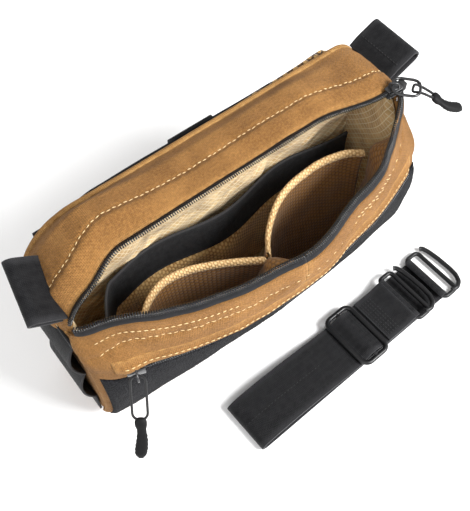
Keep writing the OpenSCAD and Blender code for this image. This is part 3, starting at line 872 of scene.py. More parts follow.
def rear_zipper():
    s_start = S_TOP + 13 * MM
    s_end = S_TOP + RIM[1][0] + (COIL_RIGHT - (-HALF_W + LEFT_R))
    points = trace(rear_line, 200, s_start, s_end)
    settle(zipper_coil("rear_coil", points, 1.25 * MM, 0.42 * MM), "pack", "zipper_coil",
           "rear_zip_coil", "zip_end_left")

    def tape(u, v):
        point = rear_line(s_start + (s_end - s_start) * u)
        nx, nz = rim(s_start + (s_end - s_start) * u)[2:]
        y = point.y + 0.4 * MM + 6 * MM * v
        sink = -1.2 * MM * smooth(v * 2)
        return Vector((point.x + nx * sink, y, point.z + nz * sink))
    strip = cloth("rear_tape", (240 * MM, 9 * MM), (150, 5), tape, 0.6 * MM, TAPE, side=0)
    settle(strip, "pack", "zipper_tape", "rear_zip_tape")


def front_pocket():
    """Loop panel, zipper and the canvas lip over it."""
    low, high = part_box("pocket_loop_panel")

    def panel(name, side):
        def place(u, v):
            z = low.z + (high.z - low.z) * v
            half = outline_x(z, side) - 2.5 * MM
            border = min((1 - u) * half, min(v, 1 - v) * (high.z - low.z))
            out = 0.9 * MM + 1.5 * MM * smooth(border / (3 * MM))
            x = side * u * half
            rough = crumple(x, z, 2, 2.2 * MM, 0.28 * MM) + crumple(x, z, 7, 30 * MM, 1.2 * MM)
            return front_place(side * u * half / (half + 2.9 * MM), z, out + rough)
        return cloth(name, (HALF_W, high.z - low.z), (110, 84), place, 2.0 * MM, PILE, flip=side < 0)
    halves("loop_panel", panel, "loop_pile", "pocket_loop_panel")

    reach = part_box("pocket_zip_tape")[1].x
    tape_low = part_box("pocket_zip_tape")[0].z

    def tape(u, v):
        x = (2 * u - 1) * reach
        return front_at(x, tape_low + 8 * MM * v, 1.6 * MM)
    strip = cloth("pocket_tape", (2 * reach, 8 * MM), (120, 4), tape, 0.8 * MM, TAPE, side=0)
    settle(strip, "front", "zipper_tape", "pocket_zip_tape")

    points = trace(lambda t: front_at((2 * t - 1) * reach, POCKET_Z, 2.9 * MM), 200)
    settle(zipper_coil("pocket_coil", points, 1.0 * MM, 0.38 * MM), "front", "zipper_coil",
           "pocket_zip_coil")

    def lip(u, v):
        x = (2 * u - 1) * (reach + 5 * MM)
        end = smooth(min(u, 1 - u) * 2 * reach / (7 * MM))
        z = POCKET_Z + 1.2 * MM + 9 * MM * v
        out = 2.6 * MM + 1.2 * MM * bump_at(v, 0.25, 0.3)
        relief = front_relief(x, z)
        return front_at(x, z, (out * (1 - smooth(v)) + 0.2 * MM) * (0.4 + 0.6 * end) + max(relief, 0))
    flap = cloth("pocket_lip", (2 * reach, 10 * MM), (160, 8), lip, 1.2 * MM, CANVAS)
    settle(flap, "front", "coyote_canvas")
    row = trace(lambda t: lip(t, 0.42) + Vector((0, -0.35 * MM, 0.2 * MM)), 250, 0.02, 0.98)
    settle(stitches("pocket_stitching", row), "front", "coyote_canvas")


# ---- Linings and inner pockets
RIDGES = ((-98 * MM, 13 * MM, 23 * MM), (-5 * MM, 11 * MM, 22 * MM), (101 * MM, 13 * MM, 23 * MM))


def lining_y(x, z):
    """The front lining hangs off the canvas in soft ridges between the slip pockets."""
    down = smooth((FRONT_EDGE - z) / (30 * MM)) * smooth(z / (70 * MM))
    ridge = sum(height * bump_at(x, at, width) for at, width, height in RIDGES)
    return front_skin(x, z) + 3.2 * MM + ridge * down + crumple(x, z, 11, 14 * MM,
                                                                1.2 * MM) * smooth(z / 0.03)


# Flat cuts, width and length, of the cloths
FRONT_LINING_CUT = (260 * MM, 168 * MM)
REAR_LINING_CUT = (250 * MM, 168 * MM)
SIDE_LINING_CUT = (520 * MM, 50 * MM)
ORGANISER_CUT = (250 * MM, 64 * MM)
ELASTIC_CUT = (250 * MM, 31 * MM)
SLIP_CUTS = {"left": (88 * MM, 96 * MM), "right": (105 * MM, 101 * MM)}


def front_lining():
    def place(u, v):
        t = 2 * u - 1
        z = 4 * MM + (front_top(t * HALF_W) - 1 * MM) * v
        side = 1 if t > 0 else -1
        x = t * (outline_x(min(z, outline_z(t * HALF_W)), side) - 6 * MM)
        return Vector((x, lining_y(x, z), z))
    # The front lining takes the darker pocket copy: painted shade inside the mouth
    sheet = cloth("front_lining_cloth", FRONT_LINING_CUT, (130, 80), place, 0.6 * MM, SHADED_POCKET_LINING)
    settle(sheet, "front", "honeycomb_lining", "front_lining")


# Plans of the two pocket hems, in millimetres
HEMS = {"left": [(-88, -25), (-76, -16), (-63, -12), (-49, -14), (-35, -20), (-21, -28), (-6, -38)],
        "right": [(-4, -38), (4, -28), (20, -15), (34, -8), (49, -5), (66, -5), (84, -9), (94, -16)]}


def hem_y(word, x):
    return follow(HEMS[word], x / MM) * MM


def slip_y(word, x, z, z0, z1):
    """The pocket's cloth hangs from its hem to its seam low on the lining."""
    v = (z - z0) / (z1 - z0)
    low = lining_y(x, z0) + 1.5 * MM
    return low + (hem_y(word, x) - low) * v ** 0.8


def slip_pockets():
    for side, word in ((-1, "left"), (1, "right")):
        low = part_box(f"slip_pocket_{word}")[0]
        x0, x1 = HEMS[word][0][0] * MM, HEMS[word][-1][0] * MM
        z1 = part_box(f"slip_hem_{word}")[1].z + (5 * MM if side > 0 else 1 * MM)

        def sheet(u, v):
            x = x0 + (x1 - x0) * u
            z = low.z + (z1 - low.z) * v
            return Vector((x, slip_y(word, x, z, low.z, z1) + crumple(x, z, 13, 16 * MM, 1.0 * MM), z))
        # The slip pockets take the darker pocket copy too: painted shade
        pocket = cloth(f"slip_pocket_{word}_cloth", SLIP_CUTS[word], (56, 50), sheet, 1.2 * MM, SHADED_POCKET_LINING)
        settle(pocket, "front", "honeycomb_lining", f"slip_pocket_{word}")

        def hem(u, v):
            x = x0 + (x1 - x0) * u
            turn = math.radians(-100 + 380 * v)
            top = Vector((x, hem_y(word, x) + crumple(x, z1, 13, 16 * MM, 1.0 * MM), z1))
            fat = (1.7 + 0.2 * math.sin(u * 260)) * MM
            return top + Vector((0, fat * math.cos(turn), 1.2 * MM + 2.0 * fat * math.sin(turn) * 0.8))
        roll = cloth(f"slip_hem_{word}_roll", (110 * MM, 14 * MM), (90, 14), hem, 0.6 * MM, HEM)
        settle(roll, "front", "pocket_hem", f"slip_hem_{word}")
        chord = Vector((x1 - x0, lining_y(x1, z1) - lining_y(x0, z1), 0))
        axis = chord.cross(Vector((0, lining_y(x0, 60 * MM) - lining_y(x0, z1), 60 * MM - z1))).normalized()
        anchor = ((x0 + x1) / 2, (lining_y(x0, 90 * MM) + lining_y(x1, 90 * MM)) / 2, 90 * MM)
        for piece in (pocket, roll):
            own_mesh(piece)


ELASTIC_LOW = ELASTIC_TOP - 31 * MM
WAVE = 108 * MM


def organiser_line(t):
    """Plan of the organiser's front: it waves along the back and turns forward at both ends."""
    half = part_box("organiser_elastic")[1].x
    x = t * (half + (8 if t < 0 else 13) * MM)
    past = max(-x - (half - 12 * MM), 0) / (20 * MM)
    y = ORGANISER_Y + 1 * MM - 4 * MM * math.cos(2 * math.pi * (x - 2 * MM) / WAVE) - 26 * MM * past ** 1.6
    return x, y


def organiser():
    def band(u, v):
        x, y = organiser_line(2 * u - 1)
        z = ELASTIC_LOW + (ELASTIC_TOP - ELASTIC_LOW) * v
        return Vector((x, y + 1.2 * MM * math.sin(math.pi * v) - 1.6 * MM * (1 - v),
                       z + crumple(x, 0, 17, 30 * MM, 0.8 * MM)))
    elastic = cloth("elastic_band", ELASTIC_CUT, (150, 14), band, 1.6 * MM, ELASTIC, side=1.0, worn=1 * MM)
    settle(elastic, "pack", "black_elastic", "organiser_elastic")

    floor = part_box("organiser_pocket")[0].z

    def fabric(u, v):
        x, y = organiser_line(2 * u - 1)
        z = floor + (ELASTIC_LOW + 2 * MM - floor) * v
        belly = 5 * MM * math.sin(math.pi * v) * (0.6 + 0.4 * math.cos(2 * math.pi * (x - 2 * MM) / WAVE
                                                                       * 2))
        tuck = 2.6 * MM * smooth((v - 0.86) / 0.12)
        folds = crumple(x, z, 19, 15 * MM, 1.4 * MM) * (1 - smooth((v - 0.8) / 0.15))
        return Vector((x * (0.94 + 0.06 * v), y - 1.4 * MM - belly + folds + tuck, z))
    pouch = cloth("organiser_cloth", ORGANISER_CUT, (150, 40), fabric, 0.9 * MM, ORGANISER, side=1.0)
    settle(pouch, "pack", "honeycomb_lining", "organiser_pocket")

    marks = []
    for x in (-50 * MM, 3 * MM, 48 * MM, 91 * MM):
        t = x / (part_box("organiser_elastic")[1].x + (8 if x < 0 else 13) * MM)
        _, y = organiser_line(t)
        points = trace(lambda v: Vector((x,
                y - 0.5 * MM + 1.2 * MM * math.sin(math.pi * v) - 1.6 * MM * (1 - v),
                                         ELASTIC_LOW + 31 * MM * v)), 20)
        marks.append(stitches("mark", points, BLACK_THREAD, 2.2 * MM, 2.1 * MM, 0.45 * MM))
    settle(join("division_stitching", marks), "pack", "black_elastic")


REAR_DRAPE = [(0.0, 31 * MM), (0.35, 29 * MM), (0.55, 26 * MM), (0.7, 21 * MM), (0.84, 12 * MM),
              (0.94, 1 * MM),
              (1.0, -8 * MM)]


def rear_lining():
    """Loose lining from the rear zipper down behind the organiser."""
    def place(u, v):
        t = 2 * u - 1
        z = 5 * MM + (PACK_H - 9 * MM) * v
        side = 1 if t > 0 else -1
        x = t * (outline_x(min(z, PACK_H - 4 * MM), side) - 5 * MM)
        loose = smooth(v / 0.3) * (1 - smooth((v - 0.88) / 0.12))
        folds = crumple(x, z, 21, 26 * MM, 5 * MM) + crumple(x - z, z, 23, 9 * MM, 1.6 * MM)
        pull = -1.5 * MM * bump_at(x, -53 * MM, 3 * MM) + 1.5 * MM * bump_at(x, 46 * MM, 3 * MM)
        tight = smooth((v - 0.7) / 0.3)
        rise = LIP_UP * slack(x) * tight
        return Vector((x, follow(REAR_DRAPE, v) + LIP_BACK * slack(x) * tight + (folds + pull) * loose,
                       z + rise))
    sheet = cloth("rear_lining_cloth", REAR_LINING_CUT, (150, 100), place, 0.5 * MM, RIPSTOP)
    settle(sheet, "pack", "ripstop_lining", "back_lining")


def wrap_lining():
    """The lining of the sides and base, in soft vertical folds."""
    def place(u, v):
        s = S_TOP + 30 * MM - (2 * LEFT_Z + 2 * HALF_W + 62 * MM) * u
        x, z, nx, nz = rim(s)
        front = mouth_edge(x, z) + 2.5 * MM
        y = 31 * MM + (front - 31 * MM) * v
        folds = 5.5 * MM * (0.5 + 0.5 * noise.noise(Vector((s / 0.05, y / 0.013, 5))))
        folds += crumple(s, y, 25, 8 * MM, 1.0 * MM)
        keep = smooth(v / 0.12) * smooth((1 - v) / 0.12)
        out = -3.4 * MM - folds * keep
        return Vector((x + nx * out, y, z + nz * out))
    sheet = cloth("side_lining", SIDE_LINING_CUT, (220, 36), place, 0.5 * MM, RIPSTOP)
    settle(sheet, "pack", "ripstop_lining")


# ---- Padded back
def back_pad():
    """Foam back pad under spacer mesh: a slab blown up by cloth pressure, then quilted."""
    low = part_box("back_mesh_pad")[0]
    bm = bmesh.new()
    count = 120
    ring = []
    for i in range(count):
        x, z, nx, nz = rim(RIM_LENGTH * i / count)
        ring.append(bm.verts.new((x - nx * 4.5 * MM, low.y + 0.3 * MM, z - nz * 4.5 * MM)))
    face = bm.faces.new(ring)
    made = bmesh.ops.extrude_face_region(bm, geom=[face])
    verts = [g for g in made["geom"] if isinstance(g, bmesh.types.BMVert)]
    bmesh.ops.translate(bm, verts=verts, vec=(0, 4.6 * MM, 0))
    bmesh.ops.recalc_face_normals(bm, faces=bm.faces[:])
    pad = as_object("back_pad", bm, MESH)
    remesh = pad.modifiers.new("Remesh", "REMESH")
    remesh.mode = "VOXEL"
    remesh.voxel_size = 4.6 * MM
    pad.data = bpy.data.meshes.new_from_object(pad.evaluated_get(bpy.context.evaluated_depsgraph_get()))
    pad.modifiers.clear()
    blow_up(pad, 3.5 * MM)
    smoothing = pad.modifiers.new("Smooth", "SUBSURF")
    smoothing.levels = 1
    smoothing.render_levels = 1
    pad.data = bpy.data.meshes.new_from_object(pad.evaluated_get(bpy.context.evaluated_depsgraph_get()))
    pad.modifiers.clear()
    mesh = pad.data
    mesh.materials.clear()
    mesh.materials.append(MESH)
    for vert in mesh.vertices:
        at = vert.co
        out = smooth((at.y - low.y) / (4 * MM))
        channel = sum(bump_at(at.z, z, 2.6 * MM) for z in (46 * MM, 88 * MM))
        channel += sum(bump_at(at.x, x, 2.6 * MM) for x in (-60 * MM, 60 * MM))
        at.y -= out * (2.8 * MM * min(channel, 1) - 4.5 * MM * bump_at(at.z, 158 * MM,
                                                                       9 * MM) * smooth(at.x / 0.06))
        at.y = max(at.y, low.y + 0.1 * MM)
    for face in mesh.polygons:
        face.use_smooth = True
    settle(pad, "pack", "spacer_mesh", "back_mesh_pad")


def blow_up(piece, cap):
    """Cloth pressure on a closed mesh, with each point's travel capped."""
    start = [v.co.copy() for v in piece.data.vertices]
    cloth_mod = piece.modifiers.new("Cloth", "CLOTH")
    settings = cloth_mod.settings
    settings.use_pressure = True
    settings.uniform_pressure_force = 4.0
    settings.effector_weights.gravity = 0
    settings.tension_stiffness = 20
    settings.compression_stiffness = 20
    settings.bending_stiffness = 3
    scene = bpy.context.scene
    for frame_number in range(1, 21):
        scene.frame_set(frame_number)
    grown = bpy.data.meshes.new_from_object(piece.evaluated_get(bpy.context.evaluated_depsgraph_get()))
    piece.modifiers.clear()
    piece.data = grown
    scene.frame_set(1)
    for vert, was in zip(grown.vertices, start):
        move = vert.co - was
        if move.length > cap:
            vert.co = was + move.normalized() * cap


# ---- Webbing
def ribbon(name, line, across, width, finish, cells=(80, 8), thick=WEB_T):
    """Flat webbing along line(t), its width along the across direction."""
    total = sum((line((i + 1) / 60) - line(i / 60)).length for i in range(60))

    def place(u, v):
        return line(v) + across * (width * (u - 0.5))
    piece = cloth(name, (width, total), (cells[1], cells[0]), place, thick, finish, side=0, worn=0.9 * MM)
    soft = piece.modifiers.new("Soft edges", "BEVEL")
    soft.width = 0.35 * MM
    soft.segments = 2
    soft.limit_method = "ANGLE"
    soft.angle_limit = math.radians(50)
    return piece


def polyline(points):
    """An even-speed line t -> point through points, with a soft turn at each."""
    marks = [0.0]
    for a, b in zip(points, points[1:]):
        marks.append(marks[-1] + (b - a).length)

    def raw(s):
        s = min(max(s, 0.0), marks[-1])
        k = max(i for i in range(len(marks) - 1) if marks[i] <= s)
        return points[k].lerp(points[k + 1], (s - marks[k]) / (marks[k + 1] - marks[k]))

    def at(t):
        s = t * marks[-1]
        near = min(1.2 * MM, s, marks[-1] - s)
        return (raw(s - near) + raw(s) * 2 + raw(s + near)) / 4
    return at


def arc_about(centre, r, from_deg, to_deg, along, up, steps=12):
    points = []
    for i in range(steps + 1):
        a = math.radians(from_deg + (to_deg - from_deg) * i / steps)
        points.append(centre + along * (r * math.cos(a)) + up * (r * math.sin(a)))
    return points


def side_webbing():
    for side, word in ((-1, "left"), (1, "right")):
        node = f"{word}_side_webbing"
        low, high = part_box(node)
        middle_y = (low.y + high.y) / 2
        rise = extent(node).x
        pitch = 40 * MM
        foot = 24 * MM

        def line(t):
            z = low.z + (high.z - low.z) * t
            up = (z - low.z - foot) / pitch
            out = 0.0
            if 0 < up < 2:
                out = (rise - WEB_T) * math.sin(math.pi * (up % 1)) ** 0.8
            near = crumple(z, side, 0, 20 * MM, 0.4 * MM)
            return Vector((side * (HALF_W + 0.9 * MM + out + max(near, 0)), middle_y, z))
        band = ribbon(f"{word}_loop_webbing", line, Y_AXIS, WEB_W, SIDE_WEBBING, cells=(110, 8))
        settle(band, "pack", "black_webbing", node)
        rows = []
        for k in range(3):
            z = low.z + foot + pitch * k
            for shift in (-1.5 * MM, 1.5 * MM):
                points = [Vector((side * (HALF_W + 1.9 * MM), low.y + 2 * MM, z + shift)),
                          Vector((side * (HALF_W + 1.9 * MM), high.y - 2 * MM, z + shift))]
                rows.append(stitches("row", points, BLACK_THREAD, 2.6 * MM, 2 * MM, 0.4 * MM))
        settle(join(f"{word}_bar_tacks", rows), "pack", "black_webbing")


def side_tab(word, seat, out, across, length):
    """Webbing folded into a loop, standing out from its seam."""
    up = out.cross(across).normalized()
    r = 3.5 * MM
    tip = seat + out * (length - r - WEB_T)
    points = [seat - out * 1.5 * MM + up * 2.2 * MM]
    points += [seat + out * 6 * MM + up * 3.6 * MM]
    points += arc_about(tip, r, 90, -90, out, up)
    points += [seat + out * 6 * MM - up * 3.6 * MM, seat - out * 1.5 * MM - up * 2.2 * MM]
    tab = ribbon(f"{word}_tab_webbing", polyline(points), across, WEB_W, SIDE_WEBBING, cells=(60, 8))
    settle(tab, f"{word}_tab", "black_webbing", f"{word}_tab")
    seam = [seat + out * 8 * MM + up * 4.6 * MM - across * 17 * MM,
            seat + out * 8 * MM + up * 4.6 * MM + across * 17 * MM]
    settle(stitches(f"{word}_tab_stitching", seam, BLACK_THREAD, 2.6 * MM, 2 * MM, 0.35 * MM),
           f"{word}_tab", "black_webbing")


def side_tabs():
    rise = math.radians(40)
    r = LEFT_R + 2.6 * MM
    left_seat = Vector((-HALF_W + LEFT_R - r * math.cos(rise), 4 * MM, LEFT_Z + r * math.sin(rise)))
    left_seat += Vector((-1.5 * MM, 5 * MM, -4 * MM))
    left_out = Vector((-math.cos(rise), 0, math.sin(rise)))
    side_tab("left", left_seat, left_out, Vector((0.2, 0.9, 0.36)).normalized(), 24 * MM)
    rise = math.radians(25)
    r = RIGHT_R + 2.6 * MM
    right_seat = Vector((HALF_W - RIGHT_R + r * math.cos(rise), 20 * MM, RIGHT_Z + r * math.sin(rise)))
    right_out = Vector((math.cos(rise), 0, math.sin(rise)))
    side_tab("right", right_seat, right_out, Y_AXIS, 25 * MM)


def rear_strap():
    low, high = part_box("rear_strap")
    z = (low.z + high.z) / 2
    out_y = high.y - WEB_T / 2
    pad_y = low.y + WEB_T / 2 + 0.8 * MM

    def line(t):
        x = low.x + (high.x - low.x) * t
        y = pad_y + (out_y - pad_y) * smooth((high.x - 12 * MM - abs(x)) / (34 * MM))
        return Vector((x, y + crumple(x, 3, 1, 30 * MM, 0.5 * MM), z))
    strap = ribbon("back_strap", line, Z_AXIS, WEB_W, SIDE_WEBBING, cells=(110, 8))
    settle(strap, "pack", "black_webbing", "rear_strap")
    rows = []
    for side in (-1, 1):
        for x in (side * (high.x - 3 * MM), side * (high.x - 9 * MM)):
            points = [Vector((x, pad_y + 1.1 * MM, low.z + 3 * MM)),
                      Vector((x, pad_y + 1.1 * MM, high.z - 3 * MM))]
            rows.append(stitches("row", points, BLACK_THREAD, 2.6 * MM, 2 * MM, 0.4 * MM))
    settle(join("back_strap_tacks", rows), "pack", "black_webbing")

    k_low, k_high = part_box("strap_keeper")
    centre = (k_low + k_high) / 2
    half = (k_high - k_low) / 2
    r = half.y - WEB_T / 2
    points = [Vector((centre.x, centre.y - r, centre.z - half.z + 8 * MM))]
    points += arc_about(Vector((centre.x, centre.y, centre.z + half.z - r - WEB_T / 2)), r, 180, 0, Y_AXIS,
                        Z_AXIS)
    points += arc_about(Vector((centre.x, centre.y, centre.z - half.z + r + WEB_T / 2)), r, 0, -180, Y_AXIS,
                        Z_AXIS)
    points += [Vector((centre.x, centre.y - r, centre.z))]
    loop = ribbon("keeper_webbing", polyline(points), X_AXIS, 2 * half.x, SIDE_WEBBING, cells=(80, 8))
    settle(loop, "keeper", "black_webbing", "strap_keeper")


# ---- Sliders and pulls
def slab(bm, size, at, bevel=0.5 * MM, matrix=None):
    """A bevelled block of one size, centred at a point."""
    made = bmesh.ops.create_cube(bm, size=1,
            matrix=(matrix or Matrix()) @ Matrix.Translation(at) @ Matrix.Diagonal((*size, 1)))
    edges = list({e for v in made["verts"] for e in v.link_edges})
    bmesh.ops.bevel(bm, geom=edges, offset=bevel, segments=2, affect="EDGES", profile=0.5, material=-1)


def slider(name, place, finish=LACQUER):
    """Y-shaped zipper slider: two shields joined by a neck."""
    bm = bmesh.new()
    half, plate = 2.1 * MM, 1.0 * MM
    for side in (-1, 1):
        made = bmesh.ops.create_cube(bm, size=1,
                                     matrix=place @ Matrix.Translation((0, 0, side * (half + plate / 2)))
                                     @ Matrix.Diagonal((11 * MM, 7.2 * MM, plate, 1)))
        back = place.inverted()
        for vert in made["verts"]:
            local = back @ vert.co
            narrow = 0.62 if local.x < 0 else 1.0
            vert.co = place @ Vector((local.x, local.y * narrow, local.z))
        edges = list({e for v in made["verts"] for e in v.link_edges})
        bmesh.ops.bevel(bm, geom=edges, offset=0.45 * MM, segments=2, affect="EDGES", profile=0.5,
                        material=-1)
    slab(bm, (2.4 * MM, 1.6 * MM, 2 * half), (3.6 * MM, 0, 0), 0.2 * MM, place)
    slab(bm, (10.6 * MM, 0.8 * MM, 1.2 * MM), (0, -3.3 * MM, half - 0.4 * MM), 0.2 * MM, place)
    slab(bm, (10.6 * MM, 0.8 * MM, 1.2 * MM), (0, -3.3 * MM, -half + 0.4 * MM), 0.2 * MM, place)
    return as_object(name, bm, finish)


def loop_points(length, width, corner, steps=8):
    """A rounded rectangle in the XY plane from x = 0 to length."""
    points = []
    for cx, cy, start in ((length - corner, width / 2 - corner, 90),
                          (length - corner, -width / 2 + corner, 0),
                          (corner, -width / 2 + corner, -90), (corner, width / 2 - corner, -180)):
        for i in range(steps + 1):
            a = math.radians(start - 90 * i / steps)
            points.append(Vector((cx + corner * math.cos(a), cy + corner * math.sin(a), 0)))
    return points


GRIP_WIDTHS = [(0, 0.55), (0.06, 0.9), (0.2, 0.92), (0.26, 0.74), (0.4, 0.8), (0.7, 1.0), (0.9, 0.9),
               (1, 0.4)]


def grip(name, place, length=27 * MM, width=7.6 * MM, thick=4.4 * MM, sway=2.2 * MM):
    """Moulded grip: a square collar where the cord enters, a waist and a rounded, slightly curved paddle."""
    bm = bmesh.new()
    bmesh.ops.create_uvsphere(bm, u_segments=20, v_segments=28, radius=1)
    for vert in bm.verts:
        t = 0.5 + 0.5 * vert.co.z
        around = math.atan2(vert.co.y, vert.co.x)
        flat = max(abs(math.cos(around)) ** 2.6, 0) + abs(math.sin(around)) ** 2.6
        r = follow(GRIP_WIDTHS, t) * flat ** (-1 / 2.6)
        if t < 1e-4 or t > 1 - 1e-4:
            r = 0
        bow = sway * math.sin(2 * math.pi * t * 0.8) * t
        ribs = 1 + 0.05 * math.sin(t * 60) * (1 if 0.36 < t < 0.86 else 0)
        vert.co = place @ Vector((t * length, r * math.cos(around) * width / 2 * ribs + bow,
                                  r * math.sin(around) * thick / 2 * ribs))
    bmesh.ops.recalc_face_normals(bm, faces=bm.faces[:])
    return as_object(name, bm, RUBBER)


def main_pull():
    x = COIL_RIGHT - 5.5 * MM
    base = Matrix.Translation((x, COIL.y, COIL.z))
    body = slider("main_slider_body", base)
    yaw = Matrix.Rotation(math.radians(-48), 4, "Z")
    bail_z = COIL.z + 2.1 * MM + 1.0 * MM + 1.45 * MM
    bail_at = Matrix.Translation((x, COIL.y - 0.5 * MM, bail_z)) @ yaw
    bail = rod("bail", [bail_at @ Vector((bx * MM, 0, bz * MM)) for bx, bz in
                        ((-3.2, -1.8), (-3.0, 0.6), (-2.2, 1.7), (0, 2.1), (2.2, 1.7), (3.0, 0.6),
                         (3.2, -1.8))],
               0.62 * MM, LACQUER)
    settle(join("main_slider_metal", [body, bail]), "main_slider", "slider_metal", "main_slider")

    ring_at = bail_at @ Matrix.Translation((-0.9 * MM, 0, 0))
    ring = rod("main_ring", [ring_at @ p for p in loop_points(17 * MM, 13.5 * MM, 4.6 * MM, 3)], 0.95 * MM,
               LACQUER, closed=True)
    settle(ring, "main_pull", "slider_metal", "main_pull_ring")

    start = 17 * MM - 2.7 * MM - 0.4 * MM - 1.6 * MM - 0.9 * MM
    cord_at = bail_at @ Matrix.Translation((start, 0, 0))
    strand = [(14.5, 1.5, -5.0), (11, 2.0, -3.2), (7, 2.3, -1.2), (3, 2.0, 0.9), (1.2, 1.1, 2.3),
              (0.2, 0, 2.6)]
    points = [Vector((a * MM, b * MM, c * MM)) for a, b, c in strand]
    points += [Vector((a * MM, -b * MM, (c if c < 0 else -c) * MM)) for a, b, c in reversed(strand)]
    smoothed = polyline(points)
    cord = rod("main_cord", [cord_at @ p for p in trace(smoothed, 60)], 0.85 * MM, CORD, round_by=2)
    settle(cord, "main_grip", "pull_cord", "main_pull_cord")
    droop = Matrix.Translation((start + 13 * MM, 0, -4.4 * MM)) @ Matrix.Rotation(math.radians(30), 4, "Y")
    handle = grip("main_grip_rubber", bail_at @ droop, length=24 * MM, sway=-3.2 * MM)
    settle(handle, "main_grip", "grip_rubber", "main_pull_grip")


def pocket_pull():
    """The pocket slider on its arc, with a wire-thin cord loop and a grip hanging from it."""
    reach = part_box("pocket_zip_tape")[1].x
    sag = edge_y(POCKET_Z) - centre_y(POCKET_Z)
    r = (HALF_W ** 2 + sag ** 2) / (2 * sag)
    angle = math.asin((reach - 5 * MM) / r)
    stand = 1.8 * MM + 1.3 * MM
    base = (Matrix.Translation((0, centre_y(POCKET_Z) + r, POCKET_Z)) @ Matrix.Rotation(-angle, 4, "Z")
            @ Matrix.Translation((0, -r - stand, 0)))
    flat = base @ Matrix.Rotation(math.radians(90), 4, "X")
    body = slider("pocket_slider_body", flat)
    half, plate, hole = 1.8 * MM, 1.0 * MM, 4.8 * MM
    bail_at = base @ Matrix.Translation((0, -half - plate, 0))
    bail = rod("pocket_bail", [bail_at @ Vector((0, -by * MM, bz * MM)) for by, bz in
                               ((-0.4, -3.4), (2.6, -3.2), (4.6, -2.2), (5.2, 0), (4.6, 2.2), (2.6, 3.2),
                                (-0.4, 3.4))],
               0.62 * MM, LACQUER)
    settle(join("pocket_slider_metal", [body, bail]), "pocket_slider", "slider_metal", "pocket_slider")
    pull_at = (base @ Matrix.Translation((0, -half - plate - hole / 2,
                                          0)) @ Matrix.Rotation(math.radians(-106), 4, "Z")
               @ Matrix.Rotation(math.radians(50), 4, "Y"))
    loop = rod("pocket_cord", [pull_at @ Matrix.Translation((-0.9 * MM, 0, 0)) @ p
                               for p in loop_points(29 * MM, 9 * MM, 4.4 * MM, 6)], 0.8 * MM, CORD,
                               closed=True)
    settle(loop, "pocket_pull", "pull_cord", "pocket_pull_cord")
    handle = grip("pocket_grip_rubber", pull_at @ Matrix.Translation((27 * MM, 0, 0)), sway=1.0 * MM)
    settle(handle, "pocket_pull", "grip_rubber", "pocket_pull_grip")


# ---- Harness strap
STRAP_AT = Matrix.Translation((-58 * MM, -85 * MM, 0)) @ Matrix.Rotation(math.radians(2.2), 4, "Z")
STRAP_ACROSS = (STRAP_AT.to_3x3() @ Y_AXIS).normalized()
LOWER_BAR = Vector((184 * MM, 0, 3.66 * MM))
UPPER_BAR = Vector((153 * MM, 0, 7.86 * MM))
EYE = 2.9 * MM
GLIDE_X = 108.5 * MM


def harness_strap():
    """One length of webbing from the lower hook, round the fold and back to the upper hook."""
    points = arc_about(LOWER_BAR, EYE, 160, -90, X_AXIS, Z_AXIS)
    points += [Vector((x * MM, 0, 0.85 * MM)) for x in (160, 120, 80, 40, 12)]
    points += [Vector((x * MM, 0, z * MM)) for x, z in
               ((5, 1.1), (1.6, 2.6), (0.6, 5.0), (1.6, 7.4), (5, 9.2), (14, 10.6), (30, 11.0), (50, 9.6),
                (70, 7.4),
                (84, 5.6), (96, 5.0), (122, 5.0), (140, 5.0))]
    points += arc_about(UPPER_BAR, EYE, -90, 150, X_AXIS, Z_AXIS)
    line = polyline(points)
    strap = ribbon("harness_webbing", lambda t: STRAP_AT @ line(t), STRAP_ACROSS, WEB_W, WEBBING,
                   cells=(320, 8))
    settle(strap, "strap", "black_webbing", "strap_lower", "strap_upper")

    tail = polyline([Vector((x * MM, 0, z * MM)) for x,
                     z in ((124.6, 6.7), (135, 6.9), (143, 7.6), (149.5, 9.9), (152, 10.7))])
    end = ribbon("sewn_tail", lambda t: STRAP_AT @ tail(t), STRAP_ACROSS, WEB_W, WEBBING, cells=(40, 8))
    settle(end, "strap", "black_webbing", "strap_sewn_end")
    rows = []
    for x in (127, 129.5, 132, 134.5, 137):
        points = [STRAP_AT @ Vector((x * MM, y * MM, 7.75 * MM)) for y in (-16, 16)]
        rows.append(stitches("row", points, BLACK_THREAD, 2.6 * MM, 2 * MM, 0.4 * MM))
    rows.append(stitches("row", [STRAP_AT @ (line(t) + Vector((0, 0, 0.95 * MM))) for t in
                                 [0.545 + 0.2 * i / 40 for i in range(41)]], BLACK_THREAD, 3 * MM, 2.2 * MM,
                                 0.3 * MM))
    settle(join("strap_stitching", rows), "strap", "black_webbing")


